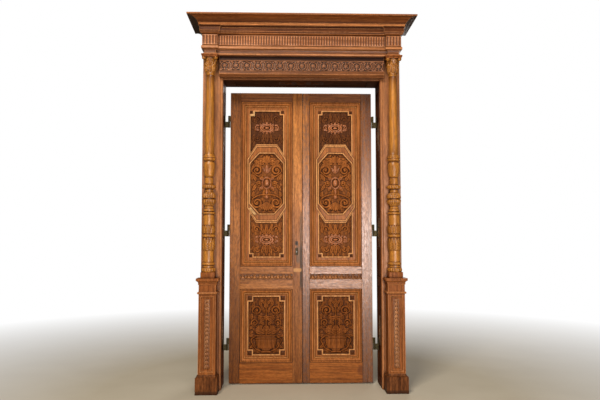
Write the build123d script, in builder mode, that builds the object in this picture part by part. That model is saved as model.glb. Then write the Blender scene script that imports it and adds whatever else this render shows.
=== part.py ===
"""Carved oak doorway: a pair of panelled leaves hung in a columned and corniced frame. Lengths in mm."""

import os
from math import cos, radians, sin

from build123d import *

os.makedirs("parts", exist_ok=True)

# Driving sizes of the frame, in plan
column_axis_x = 742
reveal_face_x = 644
reveal_depth = 245
jamb_width = 164
jamb_thickness = 28
lining_thickness = 25
side_board_thickness = 22
die_width = 134
die_depth = 112
block_width = 124
block_depth = 109
cornice_overhang = 110
frieze_setback = 18
architrave_depth = 51

# Driving heights of the frame, from the floor up
plinth_height = 127
plinth_cove_height = 23
die_height = 619
cap_height = 122
column_block_height = 47
column_height = 1590
capital_height = 153
ledge_height = 71
frieze_height = 94
bed_height = 64
crown_height = 70
architrave_height = 164
soffit_lip = 14

# Driving sizes of the leaves
side_gap = 46
head_gap = 65
floor_gap = 8
seam_gap = 4
leaf_thickness = 44
leaf_setback = 12
hinge_stile_width = 88
left_meeting_width = 80
right_meeting_width = 60
top_rail_height = 73
lock_rail_height = 184
bottom_rail_height = 168
lower_opening_height = 607

# Fits and cuts
overrun = 5
clearance = 0.3
arc_share = 0.2
leaf_belly_share = 0.42
scroll_steps = 5
oval_sides = 10
scroll_wind_share = 0.5
scroll_thin_share = 0.4

# Places worked out from the driving sizes
overall_depth = block_depth + cornice_overhang + reveal_depth
overall_width = 2 * (column_axis_x + block_width / 2 + cornice_overhang)
rear_y = overall_depth / 2
jamb_face_y = rear_y - reveal_depth
jamb_back_y = jamb_face_y + jamb_thickness
die_front_y = jamb_face_y - die_depth
block_front_y = jamb_face_y - block_depth
column_axis_y = jamb_face_y - die_depth / 2
jamb_outer_x = reveal_face_x + jamb_width
die_z = plinth_height + plinth_cove_height
cap_z = die_z + die_height
column_block_z = cap_z + cap_height
column_z = column_block_z + column_block_height
capital_z = column_z + column_height
ledge_z = capital_z + capital_height
frieze_z = ledge_z + ledge_height
bed_z = frieze_z + frieze_height
crown_z = bed_z + bed_height
architrave_z = ledge_z - architrave_height
soffit_z = architrave_z - soffit_lip
leaf_top_z = soffit_z - head_gap
leaf_height = leaf_top_z - floor_gap
leaf_outer_x = reveal_face_x - side_gap
leaf_front_y = rear_y - leaf_setback - leaf_thickness
leaf_back_y = leaf_front_y + leaf_thickness
stiles_width = 2 * hinge_stile_width + left_meeting_width + right_meeting_width
opening_width = (2 * leaf_outer_x - seam_gap - stiles_width) / 2
rails_height = top_rail_height + lock_rail_height + bottom_rail_height
upper_opening_height = leaf_height - rails_height - lower_opening_height
lower_opening_z = floor_gap + bottom_rail_height
lock_rail_z = lower_opening_z + lower_opening_height
upper_opening_z = lock_rail_z + lock_rail_height
top_rail_z = upper_opening_z + upper_opening_height
left_panel_x = -leaf_outer_x + hinge_stile_width + opening_width / 2
right_panel_x = leaf_outer_x - hinge_stile_width - opening_width / 2
left_edge_x = -leaf_outer_x + hinge_stile_width + opening_width + left_meeting_width
right_edge_x = left_edge_x + seam_gap


# Shared drawing helpers
def facing(x, y, z):
    """A drawing plane that faces the viewer: its own x is x, its own y is z."""
    return Plane(origin=(x, y, z), x_dir=(1, 0, 0), z_dir=(0, -1, 0))


def save(part, name):
    part.label = name
    export_step(part, f"parts/{name}.step")


def save_pair(part, name):
    """Write a piece of the right-hand side and its mirror image on the left."""
    save(part, f"right_{name}")
    with BuildPart() as left:
        add(part)
        mirror(about=Plane.YZ, mode=Mode.REPLACE)
    save(left.part, f"left_{name}")


def draw_steps(start, steps):
    """Draw a moulding's edge upwards; each step has a shape, an outward reach and a rise."""
    point = Vector(*start)
    for shape, out, up in steps:
        end = point + Vector(out, up)
        length = (end - point).length
        middle = (point + end) / 2
        normal = Vector(up, -out) / length * (arc_share * length)
        if shape == "straight":
            Line(point, end)
        if shape == "round":
            Polyline(point, middle + normal, end)
        if shape == "hollow":
            Polyline(point, middle - normal, end)
        if shape == "cove":
            SagittaArc(point, end, arc_share * length)
        point = end
    return point


def moulded_block(centre_x, half_width, front_y, back_y, bottom_z, steps):
    """A block with one moulding on its front and both sides, mitred at the corners."""
    depth = back_y - front_y
    with BuildPart() as block:
        with BuildSketch(facing(centre_x, 0, bottom_z)):
            with BuildLine():
                Line((0, 0), (half_width, 0))
                top = draw_steps((half_width, 0), steps)
                Line(top, (0, top.Y))
                mirror(about=Plane.YZ)
            make_face()
        extrude(amount=overall_depth, both=True)
        with BuildSketch(Plane(origin=(0, back_y, bottom_z), x_dir=(0, -1, 0), z_dir=(-1, 0, 0))):
            with BuildLine():
                Line((0, 0), (depth, 0))
                top = draw_steps((depth, 0), steps)
                Line(top, (0, top.Y))
                Line((0, top.Y), (0, 0))
            make_face()
        extrude(amount=overall_width, both=True, mode=Mode.INTERSECT)
    return block.part


def star(points, outer, inner):
    """A ring of points that step between two radii."""
    radii = [outer if index % 2 == 0 else inner for index in range(points)]
    angles = [2 * radians(180) * index / points for index in range(points)]
    return [(radius * cos(angle), radius * sin(angle)) for radius, angle in zip(radii, angles)]


def flat(*corners):
    return Face(Wire.make_polygon(corners))


def faceted(plane, sides, rows):
    """A turned and ribbed solid cut in flats; each row has a height, a radius and a groove share."""
    rings = []
    for height, radius, groove_share in rows:
        ring = star(sides, radius, radius * groove_share)
        rings.append([plane.from_local_coords((x, y, height)) for x, y in ring])
    faces = [flat(*rings[0]), flat(*rings[-1])]
    for low, high in zip(rings, rings[1:]):
        for a, b, c, d in zip(low, low[1:] + low[:1], high[1:] + high[:1], high):
            faces += [flat(a, b, c), flat(a, c, d)]
    return Solid(Shell(faces))


def pointed(plane, outline, peak, height):
    """A raised ornament that rises from its outline to one point."""
    base = [plane.from_local_coords((u, v, 0)) for u, v in outline]
    top = plane.from_local_coords((peak[0], peak[1], height))
    sides = [flat(a, b, top) for a, b in zip(base, base[1:] + base[:1])]
    return Solid(Shell([flat(*base), *sides]))


def leaf(plane, x, z, length, width, angle, height):
    """A pointed leaf, widest and highest a little below its middle."""
    along = Vector(cos(radians(angle)), sin(radians(angle)))
    across = Vector(-along.Y, along.X) * (width / 2)
    root = Vector(x, z) - along * (length / 2)
    belly = root + along * (length * leaf_belly_share)
    tip = root + along * length
    outline = [(point.X, point.Y) for point in (root, belly - across, tip, belly + across)]
    return pointed(plane, outline, (belly.X, belly.Y), height)


def draw_scroll(x, z, radius, width, start, turn):
    """A C-scroll that winds inwards and thins towards its eye."""
    outer, inner = [], []
    for index in range(scroll_steps + 1):
        share = index / scroll_steps
        angle = radians(start + turn * share)
        reach = radius * (1 - scroll_wind_share * share)
        half = width / 2 * (1 - scroll_thin_share * share)
        outer.append((x + (reach + half) * cos(angle), z + (reach + half) * sin(angle)))
        inner.append((x + (reach - half) * cos(angle), z + (reach - half) * sin(angle)))
    Polygon(*outer, *inner[::-1], align=None)


# Plinth and pedestal under each column
plinth_projection = 19
recess_margin = 19
recess_depth = 11
recess_bevel = 30
husk_count = 17
husk_width = 44
husk_relief = 9
drop_margin = 42
husk_shares = [(0, 0.54), (0.5, -0.1), (0.16, -0.5), (-0.16, -0.5), (-0.5, -0.1)]
astragal_out = 8
astragal_height = 16
neck_height = 56
cap_fillet = 4
cap_cove_out = 12
cap_cove_height = 26
cap_slab_height = cap_height - astragal_height - neck_height - cap_fillet - cap_cove_height

plinth = moulded_block(
    column_axis_x,
    die_width / 2 + plinth_projection,
    die_front_y - plinth_projection,
    jamb_face_y,
    0,
    [("straight", 0, plinth_height), ("hollow", -plinth_projection, plinth_cove_height)],
)
save_pair(plinth, "plinth")

with BuildPart() as pedestal:
    with BuildSketch(facing(column_axis_x, jamb_face_y, die_z + die_height / 2)):
        Rectangle(die_width, die_height)
    extrude(amount=die_depth)
    with BuildSketch(facing(column_axis_x, die_front_y, die_z + die_height / 2)):
        Rectangle(die_width - 2 * recess_margin, die_height - 2 * recess_margin)
    extrude(amount=-recess_depth, taper=recess_bevel, mode=Mode.SUBTRACT)
save_pair(pedestal.part, "pedestal")

with BuildPart() as husk_drop:
    drop_height = die_height - 2 * drop_margin
    husk_height = drop_height / husk_count
    for index in range(husk_count):
        husk_z = die_z + drop_margin + husk_height * (index + 1 / 2)
        outline = [(husk_width * u, husk_height * v) for u, v in husk_shares]
        add(pointed(facing(column_axis_x, die_front_y + recess_depth, husk_z), outline, (0, 0), husk_relief))
save_pair(husk_drop.part, "husk_drop")

pedestal_cap = moulded_block(
    column_axis_x,
    die_width / 2,
    die_front_y,
    jamb_face_y,
    cap_z,
    [
        ("straight", astragal_out, 0),
        ("round", 0, astragal_height),
        ("straight", -astragal_out, 0),
        ("straight", 0, neck_height),
        ("straight", cap_fillet, 0),
        ("straight", 0, cap_fillet),
        ("hollow", cap_cove_out, cap_cove_height),
        ("straight", cap_fillet, 0),
        ("straight", 0, cap_slab_height),
    ],
)
save_pair(pedestal_cap, "pedestal_cap")

# Turned column: radii as shares of the widest ring, heights as shares of the turned length
column_radius = 55
column_block_width = 106
column_sides = 16
column_shares = [
    (0.0, 0.96, 1.0),
    (0.020, 0.96, 1.0),
    (0.033, 0.84, 1.0),
    (0.036, 0.88, 1.0),
    (0.047, 0.88, 1.0),
    (0.048, 0.79, 1.0),
    (0.105, 0.79, 1.0),
    (0.140, 0.90, 0.88),
    (0.172, 0.82, 1.0),
    (0.175, 0.95, 1.0),
    (0.185, 0.95, 1.0),
    (0.187, 0.80, 1.0),
    (0.222, 0.94, 0.86),
    (0.234, 0.82, 1.0),
    (0.286, 0.82, 1.0),
    (0.288, 0.96, 1.0),
    (0.296, 0.96, 1.0),
    (0.298, 0.66, 1.0),
    (0.313, 0.74, 1.0),
    (0.328, 0.62, 1.0),
    (0.334, 0.76, 0.88),
    (0.354, 1.0, 0.88),
    (0.374, 1.0, 0.88),
    (0.394, 0.76, 0.88),
    (0.398, 0.62, 1.0),
    (0.414, 0.62, 1.0),
    (0.417, 0.95, 1.0),
    (0.432, 0.95, 1.0),
    (0.437, 0.62, 1.0),
    (0.458, 0.54, 1.0),
    (0.484, 0.72, 1.0),
    (0.530, 0.86, 0.86),
    (0.552, 0.70, 1.0),
    (0.560, 0.90, 1.0),
    (0.580, 0.90, 1.0),
    (0.590, 0.68, 1.0),
    (0.992, 0.56, 1.0),
    (0.994, 0.64, 1.0),
    (1.0, 0.64, 1.0),
]
column_foot = Plane((column_axis_x, column_axis_y, column_z))
column_rows = [(column_height * up, column_radius * out, groove) for up, out, groove in column_shares]
with BuildPart() as column:
    with BuildSketch(Plane((column_axis_x, column_axis_y, column_block_z))):
        Rectangle(column_block_width, column_block_width)
    extrude(amount=column_block_height)
    add(faceted(column_foot, column_sides, column_rows))
save_pair(column.part, "column")

# Capital: two rings of leaves, corner volutes and a square top
abacus_height = 24
abacus_fillet = 5
bell_radius = 52
bell_sides = 16
bell_shares = [
    (0.0, 0.62, 1.0),
    (0.34, 1.02, 0.74),
    (0.42, 0.80, 0.88),
    (0.76, 1.06, 0.80),
    (0.84, 0.94, 0.94),
    (1.0, 1.0, 1.0),
]
volute_radius = 13
volute_length = 20
volute_reach = 66
volute_sides = 10
bell_height = capital_height - abacus_height
abacus = moulded_block(
    column_axis_x,
    die_width / 2 - abacus_fillet,
    column_axis_y - die_width / 2 + abacus_fillet,
    jamb_face_y,
    ledge_z - abacus_height,
    [("straight", abacus_fillet, abacus_height / 2), ("straight", 0, abacus_height / 2)],
)
bell_foot = Plane((column_axis_x, column_axis_y, capital_z))
bell_rows = [(bell_height * up, bell_radius * out, groove) for up, out, groove in bell_shares]
with BuildPart() as capital:
    add(faceted(bell_foot, bell_sides, bell_rows))
    add(abacus)
    for quarter in (-135, -45):
        across = Vector(-sin(radians(quarter)), cos(radians(quarter)), 0)
        reach = Vector(cos(radians(quarter)), sin(radians(quarter)), 0) * volute_reach
        corner = Vector(column_axis_x, column_axis_y, ledge_z - abacus_height - volute_radius / 2) + reach
        with BuildSketch(Plane(corner, z_dir=across)):
            RegularPolygon(volute_radius, volute_sides)
        extrude(amount=volute_length / 2, both=True)
save_pair(capital.part, "capital")

# Jamb board behind each column, and the side board that closes the casing
bead_width = 18
bead_groove = 4
bead_chamfer = 6
with BuildPart() as jamb:
    with BuildSketch(Plane.XY):
        groove_x = reveal_face_x + bead_width
        Polygon(
            (reveal_face_x, jamb_face_y + bead_chamfer),
            (reveal_face_x + bead_chamfer, jamb_face_y),
            (groove_x, jamb_face_y),
            (groove_x + bead_groove / 2, jamb_face_y + bead_groove),
            (groove_x + bead_groove, jamb_face_y),
            (jamb_outer_x, jamb_face_y),
            (jamb_outer_x, jamb_back_y),
            (reveal_face_x, jamb_back_y),
            align=None,
        )
    extrude(amount=ledge_z)
save_pair(jamb.part, "jamb")

with BuildPart() as side_board:
    with BuildSketch(Plane.XY):
        with Locations((jamb_outer_x, jamb_back_y)):
            Rectangle(side_board_thickness, rear_y - jamb_back_y, align=(Align.MAX, Align.MIN))
    extrude(amount=ledge_z)
save_pair(side_board.part, "side_board")

# Reveal: a frame of stiles and rails with three carved panels
reveal_margin = 44
reveal_rail = 74
reveal_panel_count = 3
reveal_panel_thickness = 12
reveal_panel_recess = 8
reveal_width = rear_y - jamb_back_y
reveal_panel_width = reveal_width - 2 * reveal_margin
reveal_panel_height = (soffit_z - (reveal_panel_count + 1) * reveal_rail) / reveal_panel_count
reveal_centre_y = jamb_back_y + reveal_width / 2
cartouche_relief = 6
cartouche_width = 0.62 * reveal_panel_width
cartouche_height = 240
cartouche_shares = [(0, 0.5), (0.3, 0.34), (0.5, 0.12), (0.34, 0), (0.5, -0.12), (0.3, -0.34), (0, -0.5)]


def reveal_plane(x, z):
    """A drawing plane on the right-hand reveal, facing the opening."""
    return Plane(origin=(x, reveal_centre_y, z), x_dir=(0, 1, 0), z_dir=(-1, 0, 0))


reveal_panel_levels = [
    reveal_rail + reveal_panel_height / 2 + index * (reveal_panel_height + reveal_rail)
    for index in range(reveal_panel_count)
]
with BuildPart() as reveal_frame:
    with BuildSketch(reveal_plane(reveal_face_x + lining_thickness, soffit_z / 2)):
        Rectangle(reveal_width, soffit_z)
    extrude(amount=lining_thickness)
    for level in reveal_panel_levels:
        with BuildSketch(reveal_plane(reveal_face_x, level)):
            Rectangle(reveal_panel_width, reveal_panel_height)
        extrude(amount=-lining_thickness, mode=Mode.SUBTRACT)
save_pair(reveal_frame.part, "reveal_frame")

with BuildPart() as reveal_panels:
    for level in reveal_panel_levels:
        panel_back = reveal_face_x + reveal_panel_recess + reveal_panel_thickness
        with BuildSketch(reveal_plane(panel_back, level)):
            Rectangle(reveal_panel_width, reveal_panel_height)
        extrude(amount=reveal_panel_thickness)
        with BuildSketch(reveal_plane(reveal_face_x + reveal_panel_recess, level)):
            right = [(cartouche_width * u, cartouche_height * v) for u, v in cartouche_shares]
            left = [(-u, v) for u, v in right[-2:0:-1]]
            Polygon(*right, *left, align=None)
        extrude(amount=cartouche_relief)
save_pair(reveal_panels.part, "reveal_panels")

# Soffit over the opening, framed in the same way round one carved panel
soffit_half_width = reveal_face_x + lining_thickness
soffit_panel_length = 2 * reveal_face_x - 4 * reveal_margin
strapwork_length = 380
strapwork_shares = [(0, 0.5), (0.16, 0.5), (0.22, 0.26), (0.4, 0.34), (0.5, 0)]
soffit_up = Plane(origin=(0, reveal_centre_y, soffit_z), x_dir=(1, 0, 0), z_dir=(0, 0, 1))
with BuildPart() as soffit_frame:
    with BuildSketch(soffit_up):
        Rectangle(2 * soffit_half_width, reveal_width)
        Rectangle(soffit_panel_length, reveal_panel_width, mode=Mode.SUBTRACT)
    extrude(amount=lining_thickness)
save(soffit_frame.part, "soffit_frame")

with BuildPart() as soffit_panel:
    with BuildSketch(soffit_up.offset(reveal_panel_recess)):
        Rectangle(soffit_panel_length, reveal_panel_width)
    extrude(amount=reveal_panel_thickness)
    with BuildSketch(soffit_up.offset(reveal_panel_recess)):
        strap = [(strapwork_length * u, reveal_panel_width * v) for u, v in strapwork_shares]
        lower = [(u, -v) for u, v in strap[-2::-1]]
        back = [(-u, -v) for u, v in strap[1:]]
        upper = [(-u, v) for u, v in strap[-2:0:-1]]
        Polygon(*strap, *lower, *back, *upper, align=None)
    extrude(amount=-cartouche_relief)
save(soffit_panel.part, "soffit_panel")

# Architrave across the opening, with an ovolo below and a bed for the carved band
architrave_half_width = 672
ovolo_height = 43
ovolo_out = 14
band_height = 86
band_ground = 6
band_bed_z = architrave_z + ovolo_height
architrave_front_y = jamb_face_y - architrave_depth
with BuildPart() as architrave:
    with BuildSketch(Plane(origin=(0, jamb_face_y, architrave_z), x_dir=(0, -1, 0), z_dir=(-1, 0, 0))):
        with BuildLine():
            Line((0, 0), (architrave_depth - ovolo_out, 0))
            ovolo = [("round", ovolo_out, ovolo_height), ("straight", -band_ground, 0)]
            ovolo += [("straight", 0, band_height), ("straight", band_ground, 0)]
            ovolo += [("straight", 0, architrave_height - ovolo_height - band_height)]
            top = draw_steps((architrave_depth - ovolo_out, 0), ovolo)
            Polyline(top, (0, architrave_height), (0, 0))
        make_face()
    extrude(amount=architrave_half_width, both=True)
    with BuildSketch(facing(0, jamb_back_y, (soffit_z + ledge_z) / 2)):
        Rectangle(2 * reveal_face_x, ledge_z - soffit_z)
    extrude(amount=jamb_thickness)
save(architrave.part, "architrave")

# Carved band of rosettes joined by leaf scrolls
rosette_count = 15
rosette_petals = 6
rosette_relief = 9
rosette_shares = (0.30, 0.19)
band_leaf_relief = 6
band_leaf_tilt = 9
band_leaf_length_share = 0.92
band_leaf_width_share = 0.17
band_leaf_lift_share = 0.31
band_pitch = 2 * architrave_half_width / rosette_count
with BuildPart() as scroll_band:
    band_front = architrave_front_y + band_ground
    band_mid_z = band_bed_z + band_height / 2
    for index in range(rosette_count):
        rosette_x = -architrave_half_width + band_pitch * (index + 1 / 2)
        turn = 1 if index % 2 == 0 else -1
        face = facing(rosette_x, band_front - band_ground / 3, band_mid_z)
        petals = star(2 * rosette_petals, band_height * rosette_shares[0], band_height * rosette_shares[1])
        add(pointed(face, petals, (0, 0), rosette_relief))
        length = band_pitch * band_leaf_length_share
        width = band_height * band_leaf_width_share
        lift = band_height * band_leaf_lift_share
        add(leaf(face, 0, lift, length, width, band_leaf_tilt * turn, band_leaf_relief))
        add(leaf(face, 0, -lift, length, width, 180 + band_leaf_tilt * turn, band_leaf_relief))
    with BuildSketch(facing(0, band_front, band_mid_z)):
        Rectangle(2 * architrave_half_width, band_height)
    extrude(amount=band_ground / 3)
save(scroll_band.part, "scroll_band")

# Ledge under the frieze, broken forward over each capital
ledge_bead_height = 14
ledge_step = 6
ledge_fascia_height = 17
ledge_cove_height = 17
ledge_fillet_height = 9
ledge_lower_height = ledge_bead_height + ledge_fascia_height
ledge_upper_height = ledge_cove_height + ledge_fillet_height
ledge_top_height = ledge_height - ledge_lower_height - ledge_upper_height
ledge_steps = [
    ("round", 0, ledge_bead_height),
    ("straight", -ledge_step, 0),
    ("straight", 0, ledge_fascia_height),
    ("hollow", ledge_cove_height, ledge_cove_height),
    ("straight", ledge_step, 0),
    ("straight", 0, ledge_fillet_height),
    ("round", -ledge_step, ledge_top_height),
]
ledge_inset = ledge_height / 7
block_inner_x = column_axis_x - block_width / 2
block_outer_x = column_axis_x + block_width / 2


def broken_moulding(inset, bottom_z, steps):
    """A moulding along the whole front that steps forward over each column."""
    front = block_front_y + inset
    half = block_width / 2 - inset
    middle = moulded_block(0, column_axis_x, front + frieze_setback, jamb_face_y, bottom_z, steps)
    right = moulded_block(column_axis_x, half, front, jamb_face_y, bottom_z, steps)
    left = moulded_block(-column_axis_x, half, front, jamb_face_y, bottom_z, steps)
    with BuildPart() as moulding:
        add(middle)
        add(right)
        add(left)
    return moulding.part


save(broken_moulding(ledge_inset, ledge_z, ledge_steps), "frieze_ledge")

# Fluted frieze between the blocks, and the fluted block over each column
frieze_thickness = 32
flute_count = 64
block_flute_count = 5
flute_width_share = 0.62
flute_height_share = 0.80
flute_depth = 5


def cut_flutes(width, count, x, y):
    """Cut an even row of flutes into a frieze face."""
    pitch = width / count
    with BuildSketch(facing(x, y, frieze_z + frieze_height / 2)) as flutes:
        with GridLocations(pitch, 0, count, 1):
            Rectangle(pitch * flute_width_share, frieze_height * flute_height_share)
    extrude(flutes.sketch, amount=-flute_depth, mode=Mode.SUBTRACT)


with BuildPart() as frieze:
    frieze_front_y = block_front_y + frieze_setback
    with BuildSketch(facing(0, frieze_front_y + frieze_thickness, frieze_z + frieze_height / 2)):
        Rectangle(2 * block_inner_x, frieze_height)
    extrude(amount=frieze_thickness)
    cut_flutes(2 * block_inner_x, flute_count, 0, frieze_front_y)
save(frieze.part, "frieze")

with BuildPart() as frieze_block:
    with BuildSketch(facing(column_axis_x, jamb_face_y, frieze_z + frieze_height / 2)):
        Rectangle(block_width, frieze_height)
    extrude(amount=block_depth)
    cut_flutes(block_width, block_flute_count, column_axis_x, block_front_y)
    with BuildSketch(Plane.XY.offset(ledge_z)):
        with Locations((block_outer_x, jamb_face_y)):
            Rectangle(side_board_thickness, reveal_depth, align=(Align.MAX, Align.MIN))
    extrude(amount=crown_z - ledge_z)
save_pair(frieze_block.part, "frieze_block")

# Cornice: bed mould, deep cove and top fillet, returned at both ends and hollow behind
crown_fillet = 12
crown_lip = 18
crown_lip_step = 4
crown_cove_out = 72
top_board = 22
bed_steps = [
    ("round", bed_height / 4, bed_height / 3),
    ("straight", bed_height / 16, 0),
    ("straight", 0, bed_height / 6),
    ("hollow", bed_height / 6, bed_height / 2),
]
crown_steps = [
    ("straight", cornice_overhang - crown_cove_out - crown_lip_step - crown_fillet / 2, 0),
    ("straight", 0, crown_lip),
    ("straight", crown_lip_step, 0),
    ("cove", crown_cove_out, crown_height - crown_lip - crown_fillet),
    ("straight", crown_fillet / 2, 0),
    ("straight", 0, crown_fillet),
]
bed = broken_moulding(0, bed_z, bed_steps)
crown = moulded_block(0, block_outer_x, block_front_y, rear_y, crown_z, crown_steps)
with BuildPart() as cornice:
    add(bed)
    add(crown)
    with BuildSketch(Plane.XY.offset(crown_z)):
        with Locations((0, jamb_face_y)):
            Rectangle(
                2 * (block_outer_x - side_board_thickness),
                reveal_depth + overrun,
                align=(Align.CENTER, Align.MIN),
            )
    extrude(amount=crown_height - top_board, mode=Mode.SUBTRACT)
save(cornice.part, "cornice")

# Leaf: stiles and rails
hinge_z_shares = (0.132, 0.519, 0.898)
lock_z_share = 0.4745
spindle_radius = 5
keyhole_radius = 4
keyhole_sides = 8
keyhole_slot = 5
keyhole_drop = 68
lock_case_depth = 58
lock_case_thickness = 18
lock_case_height = 170
lock_wall = 2
forend_width = 22
forend_height = 230
forend_thickness = 2.5
latch_height = 22
dead_bolt_height = 30
bolt_length = 44
bolt_pocket = 22
pocket_play = 1.6
spindle_inset = 45
spindle_z = floor_gap + leaf_height * lock_z_share
keyhole_z = spindle_z - keyhole_drop
spindle_x = left_edge_x - spindle_inset
lock_centre_z = (spindle_z + keyhole_z) / 2
leaf_mid_y = leaf_front_y + leaf_thickness / 2


def board(x, z, width, height):
    """A plain board of the leaf's thickness."""
    with BuildPart() as plain:
        with BuildSketch(facing(x, leaf_back_y, z + height / 2)):
            Rectangle(width, height)
        extrude(amount=leaf_thickness)
    return plain.part


def edge_slot(edge_x, direction, depth, thickness, z, height):
    """A slot cut or filled from a meeting edge into the leaf."""
    with BuildPart() as slot:
        with BuildSketch(Plane(origin=(edge_x, leaf_mid_y, z), x_dir=(0, 1, 0), z_dir=(direction, 0, 0))):
            Rectangle(thickness, height)
        extrude(amount=depth)
    return slot.part


def draw_keyhole(mode):
    RegularPolygon(keyhole_radius, keyhole_sides, mode=mode)
    Rectangle(keyhole_slot, 3 * keyhole_radius, align=(Align.CENTER, Align.MAX), mode=mode)


for side, sign, panel_x in (("left", -1, left_panel_x), ("right", 1, right_panel_x)):
    stile_x = sign * (leaf_outer_x - hinge_stile_width / 2)
    save(board(stile_x, floor_gap, hinge_stile_width, leaf_height), f"{side}_hinge_stile")
    save(board(panel_x, floor_gap, opening_width, bottom_rail_height), f"{side}_bottom_rail")
    save(board(panel_x, lock_rail_z, opening_width, lock_rail_height), f"{side}_lock_rail")
    save(board(panel_x, top_rail_z, opening_width, top_rail_height), f"{side}_top_rail")

left_stile = board(left_edge_x - left_meeting_width / 2, floor_gap, left_meeting_width, leaf_height)
case_slot = edge_slot(left_edge_x, -1, lock_case_depth, lock_case_thickness, lock_centre_z, lock_case_height)
forend_slot = edge_slot(left_edge_x, -1, forend_thickness, forend_width, lock_centre_z, forend_height)
with BuildPart() as left_meeting_stile:
    add(left_stile)
    add(case_slot, mode=Mode.SUBTRACT)
    add(forend_slot, mode=Mode.SUBTRACT)
    with BuildSketch(facing(spindle_x, leaf_front_y, spindle_z)):
        RegularPolygon(spindle_radius, keyhole_sides)
    extrude(amount=-leaf_thickness, mode=Mode.SUBTRACT)
    with BuildSketch(facing(spindle_x, leaf_front_y, keyhole_z)):
        draw_keyhole(Mode.ADD)
    extrude(amount=-leaf_thickness / 2, mode=Mode.SUBTRACT)
save(left_meeting_stile.part, "left_meeting_stile")

# Lock: case, latch bolt and dead bolt, both bolts drawn in
case_inner = edge_slot(
    left_edge_x - forend_thickness,
    -1,
    lock_case_depth - forend_thickness - lock_wall,
    lock_case_thickness - 2 * lock_wall,
    lock_centre_z,
    lock_case_height - 2 * lock_wall,
)
bolt_thickness = lock_case_thickness - 2 * lock_wall - 2 * clearance
hole_thickness = bolt_thickness + 2 * clearance
latch_hole_height = latch_height + 2 * clearance
dead_hole_height = dead_bolt_height + 2 * clearance
latch_hole = edge_slot(left_edge_x, -1, forend_thickness, hole_thickness, spindle_z, latch_hole_height)
dead_hole = edge_slot(left_edge_x, -1, forend_thickness, hole_thickness, keyhole_z, dead_hole_height)
with BuildPart() as lock_case:
    add(case_slot)
    add(forend_slot)
    add(case_inner, mode=Mode.SUBTRACT)
    add(latch_hole, mode=Mode.SUBTRACT)
    add(dead_hole, mode=Mode.SUBTRACT)
    with BuildSketch(facing(spindle_x, leaf_mid_y - lock_case_thickness / 2, spindle_z)):
        RegularPolygon(spindle_radius, keyhole_sides)
    extrude(amount=-lock_case_thickness, mode=Mode.SUBTRACT)
    with BuildSketch(facing(spindle_x, leaf_mid_y - lock_case_thickness / 2, keyhole_z)):
        draw_keyhole(Mode.ADD)
    extrude(amount=-lock_wall, mode=Mode.SUBTRACT)
save(lock_case.part, "lock_case")
latch = edge_slot(left_edge_x, -1, bolt_length / 2, bolt_thickness, spindle_z, latch_height)
latch_corner = Plane((left_edge_x, leaf_mid_y - bolt_thickness / 2, spindle_z))
latch_slope_share = 0.8
with BuildPart() as latch_bolt:
    add(latch)
    with BuildSketch(latch_corner):
        Polygon((0, 0), (-bolt_length / 4, 0), (0, bolt_thickness * latch_slope_share), align=None)
    extrude(amount=latch_height, both=True, mode=Mode.SUBTRACT)
save(latch_bolt.part, "latch_bolt")
save(edge_slot(left_edge_x, -1, bolt_length / 2, bolt_thickness, keyhole_z, dead_bolt_height), "dead_bolt")

escutcheon_width = 22
escutcheon_height = 58
escutcheon_thickness = 1.5
with BuildPart() as escutcheon:
    with BuildSketch(facing(spindle_x, leaf_front_y, keyhole_z)):
        Rectangle(escutcheon_width, escutcheon_height)
        draw_keyhole(Mode.SUBTRACT)
    extrude(amount=escutcheon_thickness)
save(escutcheon.part, "escutcheon")

# Right meeting stile with its strike plate and the pockets for both bolts
right_stile = board(right_edge_x + right_meeting_width / 2, floor_gap, right_meeting_width, leaf_height)
strike_slot = edge_slot(right_edge_x, 1, forend_thickness, forend_width, lock_centre_z, forend_height)
pocket_thickness = bolt_thickness + 2 * pocket_play
latch_pocket_height = latch_height + 2 * pocket_play
dead_pocket_height = dead_bolt_height + 2 * pocket_play
latch_pocket = edge_slot(right_edge_x, 1, bolt_pocket, pocket_thickness, spindle_z, latch_pocket_height)
dead_pocket = edge_slot(right_edge_x, 1, bolt_pocket, pocket_thickness, keyhole_z, dead_pocket_height)
with BuildPart() as right_meeting_stile:
    add(right_stile)
    add(strike_slot, mode=Mode.SUBTRACT)
    add(latch_pocket, mode=Mode.SUBTRACT)
    add(dead_pocket, mode=Mode.SUBTRACT)
save(right_meeting_stile.part, "right_meeting_stile")
with BuildPart() as strike_plate:
    add(strike_slot)
    add(latch_pocket, mode=Mode.SUBTRACT)
    add(dead_pocket, mode=Mode.SUBTRACT)
save(strike_plate.part, "strike_plate")

# Panel mouldings: a ring that steps down from the frame to the panel
moulding_width = 54
moulding_proud = 4
panel_recess = 14
panel_thickness = 20
moulding_steps = [
    (moulding_width / 9, panel_recess / 3),
    (moulding_width / 9, 0),
    (moulding_width / 6, panel_recess / 6),
    (moulding_width / 6, panel_recess / 3),
    (moulding_width / 9, 0),
    (moulding_width / 9, panel_recess / 3),
]
moulding_rise = sum(up for out, up in moulding_steps)
panel_front_y = leaf_front_y + panel_recess


def moulding_plug(x, z, half_width, half_height):
    """The hollow inside a panel moulding: wider at the front than at the panel."""
    with BuildPart() as plug:
        across = Plane(origin=(x, panel_front_y, z), x_dir=(1, 0, 0), z_dir=(0, 0, 1))
        upright = Plane(origin=(x, panel_front_y, z), x_dir=(0, 0, 1), z_dir=(-1, 0, 0))
        for plane, half, mode in ((across, half_width, Mode.ADD), (upright, half_height, Mode.INTERSECT)):
            with BuildSketch(plane):
                rim = [(half - moulding_width, 0)]
                for out, up in moulding_steps:
                    rim.append((rim[-1][0] + out, rim[-1][1] - up))
                rim.append((rim[-1][0], -moulding_rise - overrun))
                Polygon(*rim, *[(-u, v) for u, v in rim[::-1]], align=None)
            extrude(amount=leaf_height, both=True, mode=mode)
    return plug.part


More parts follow.
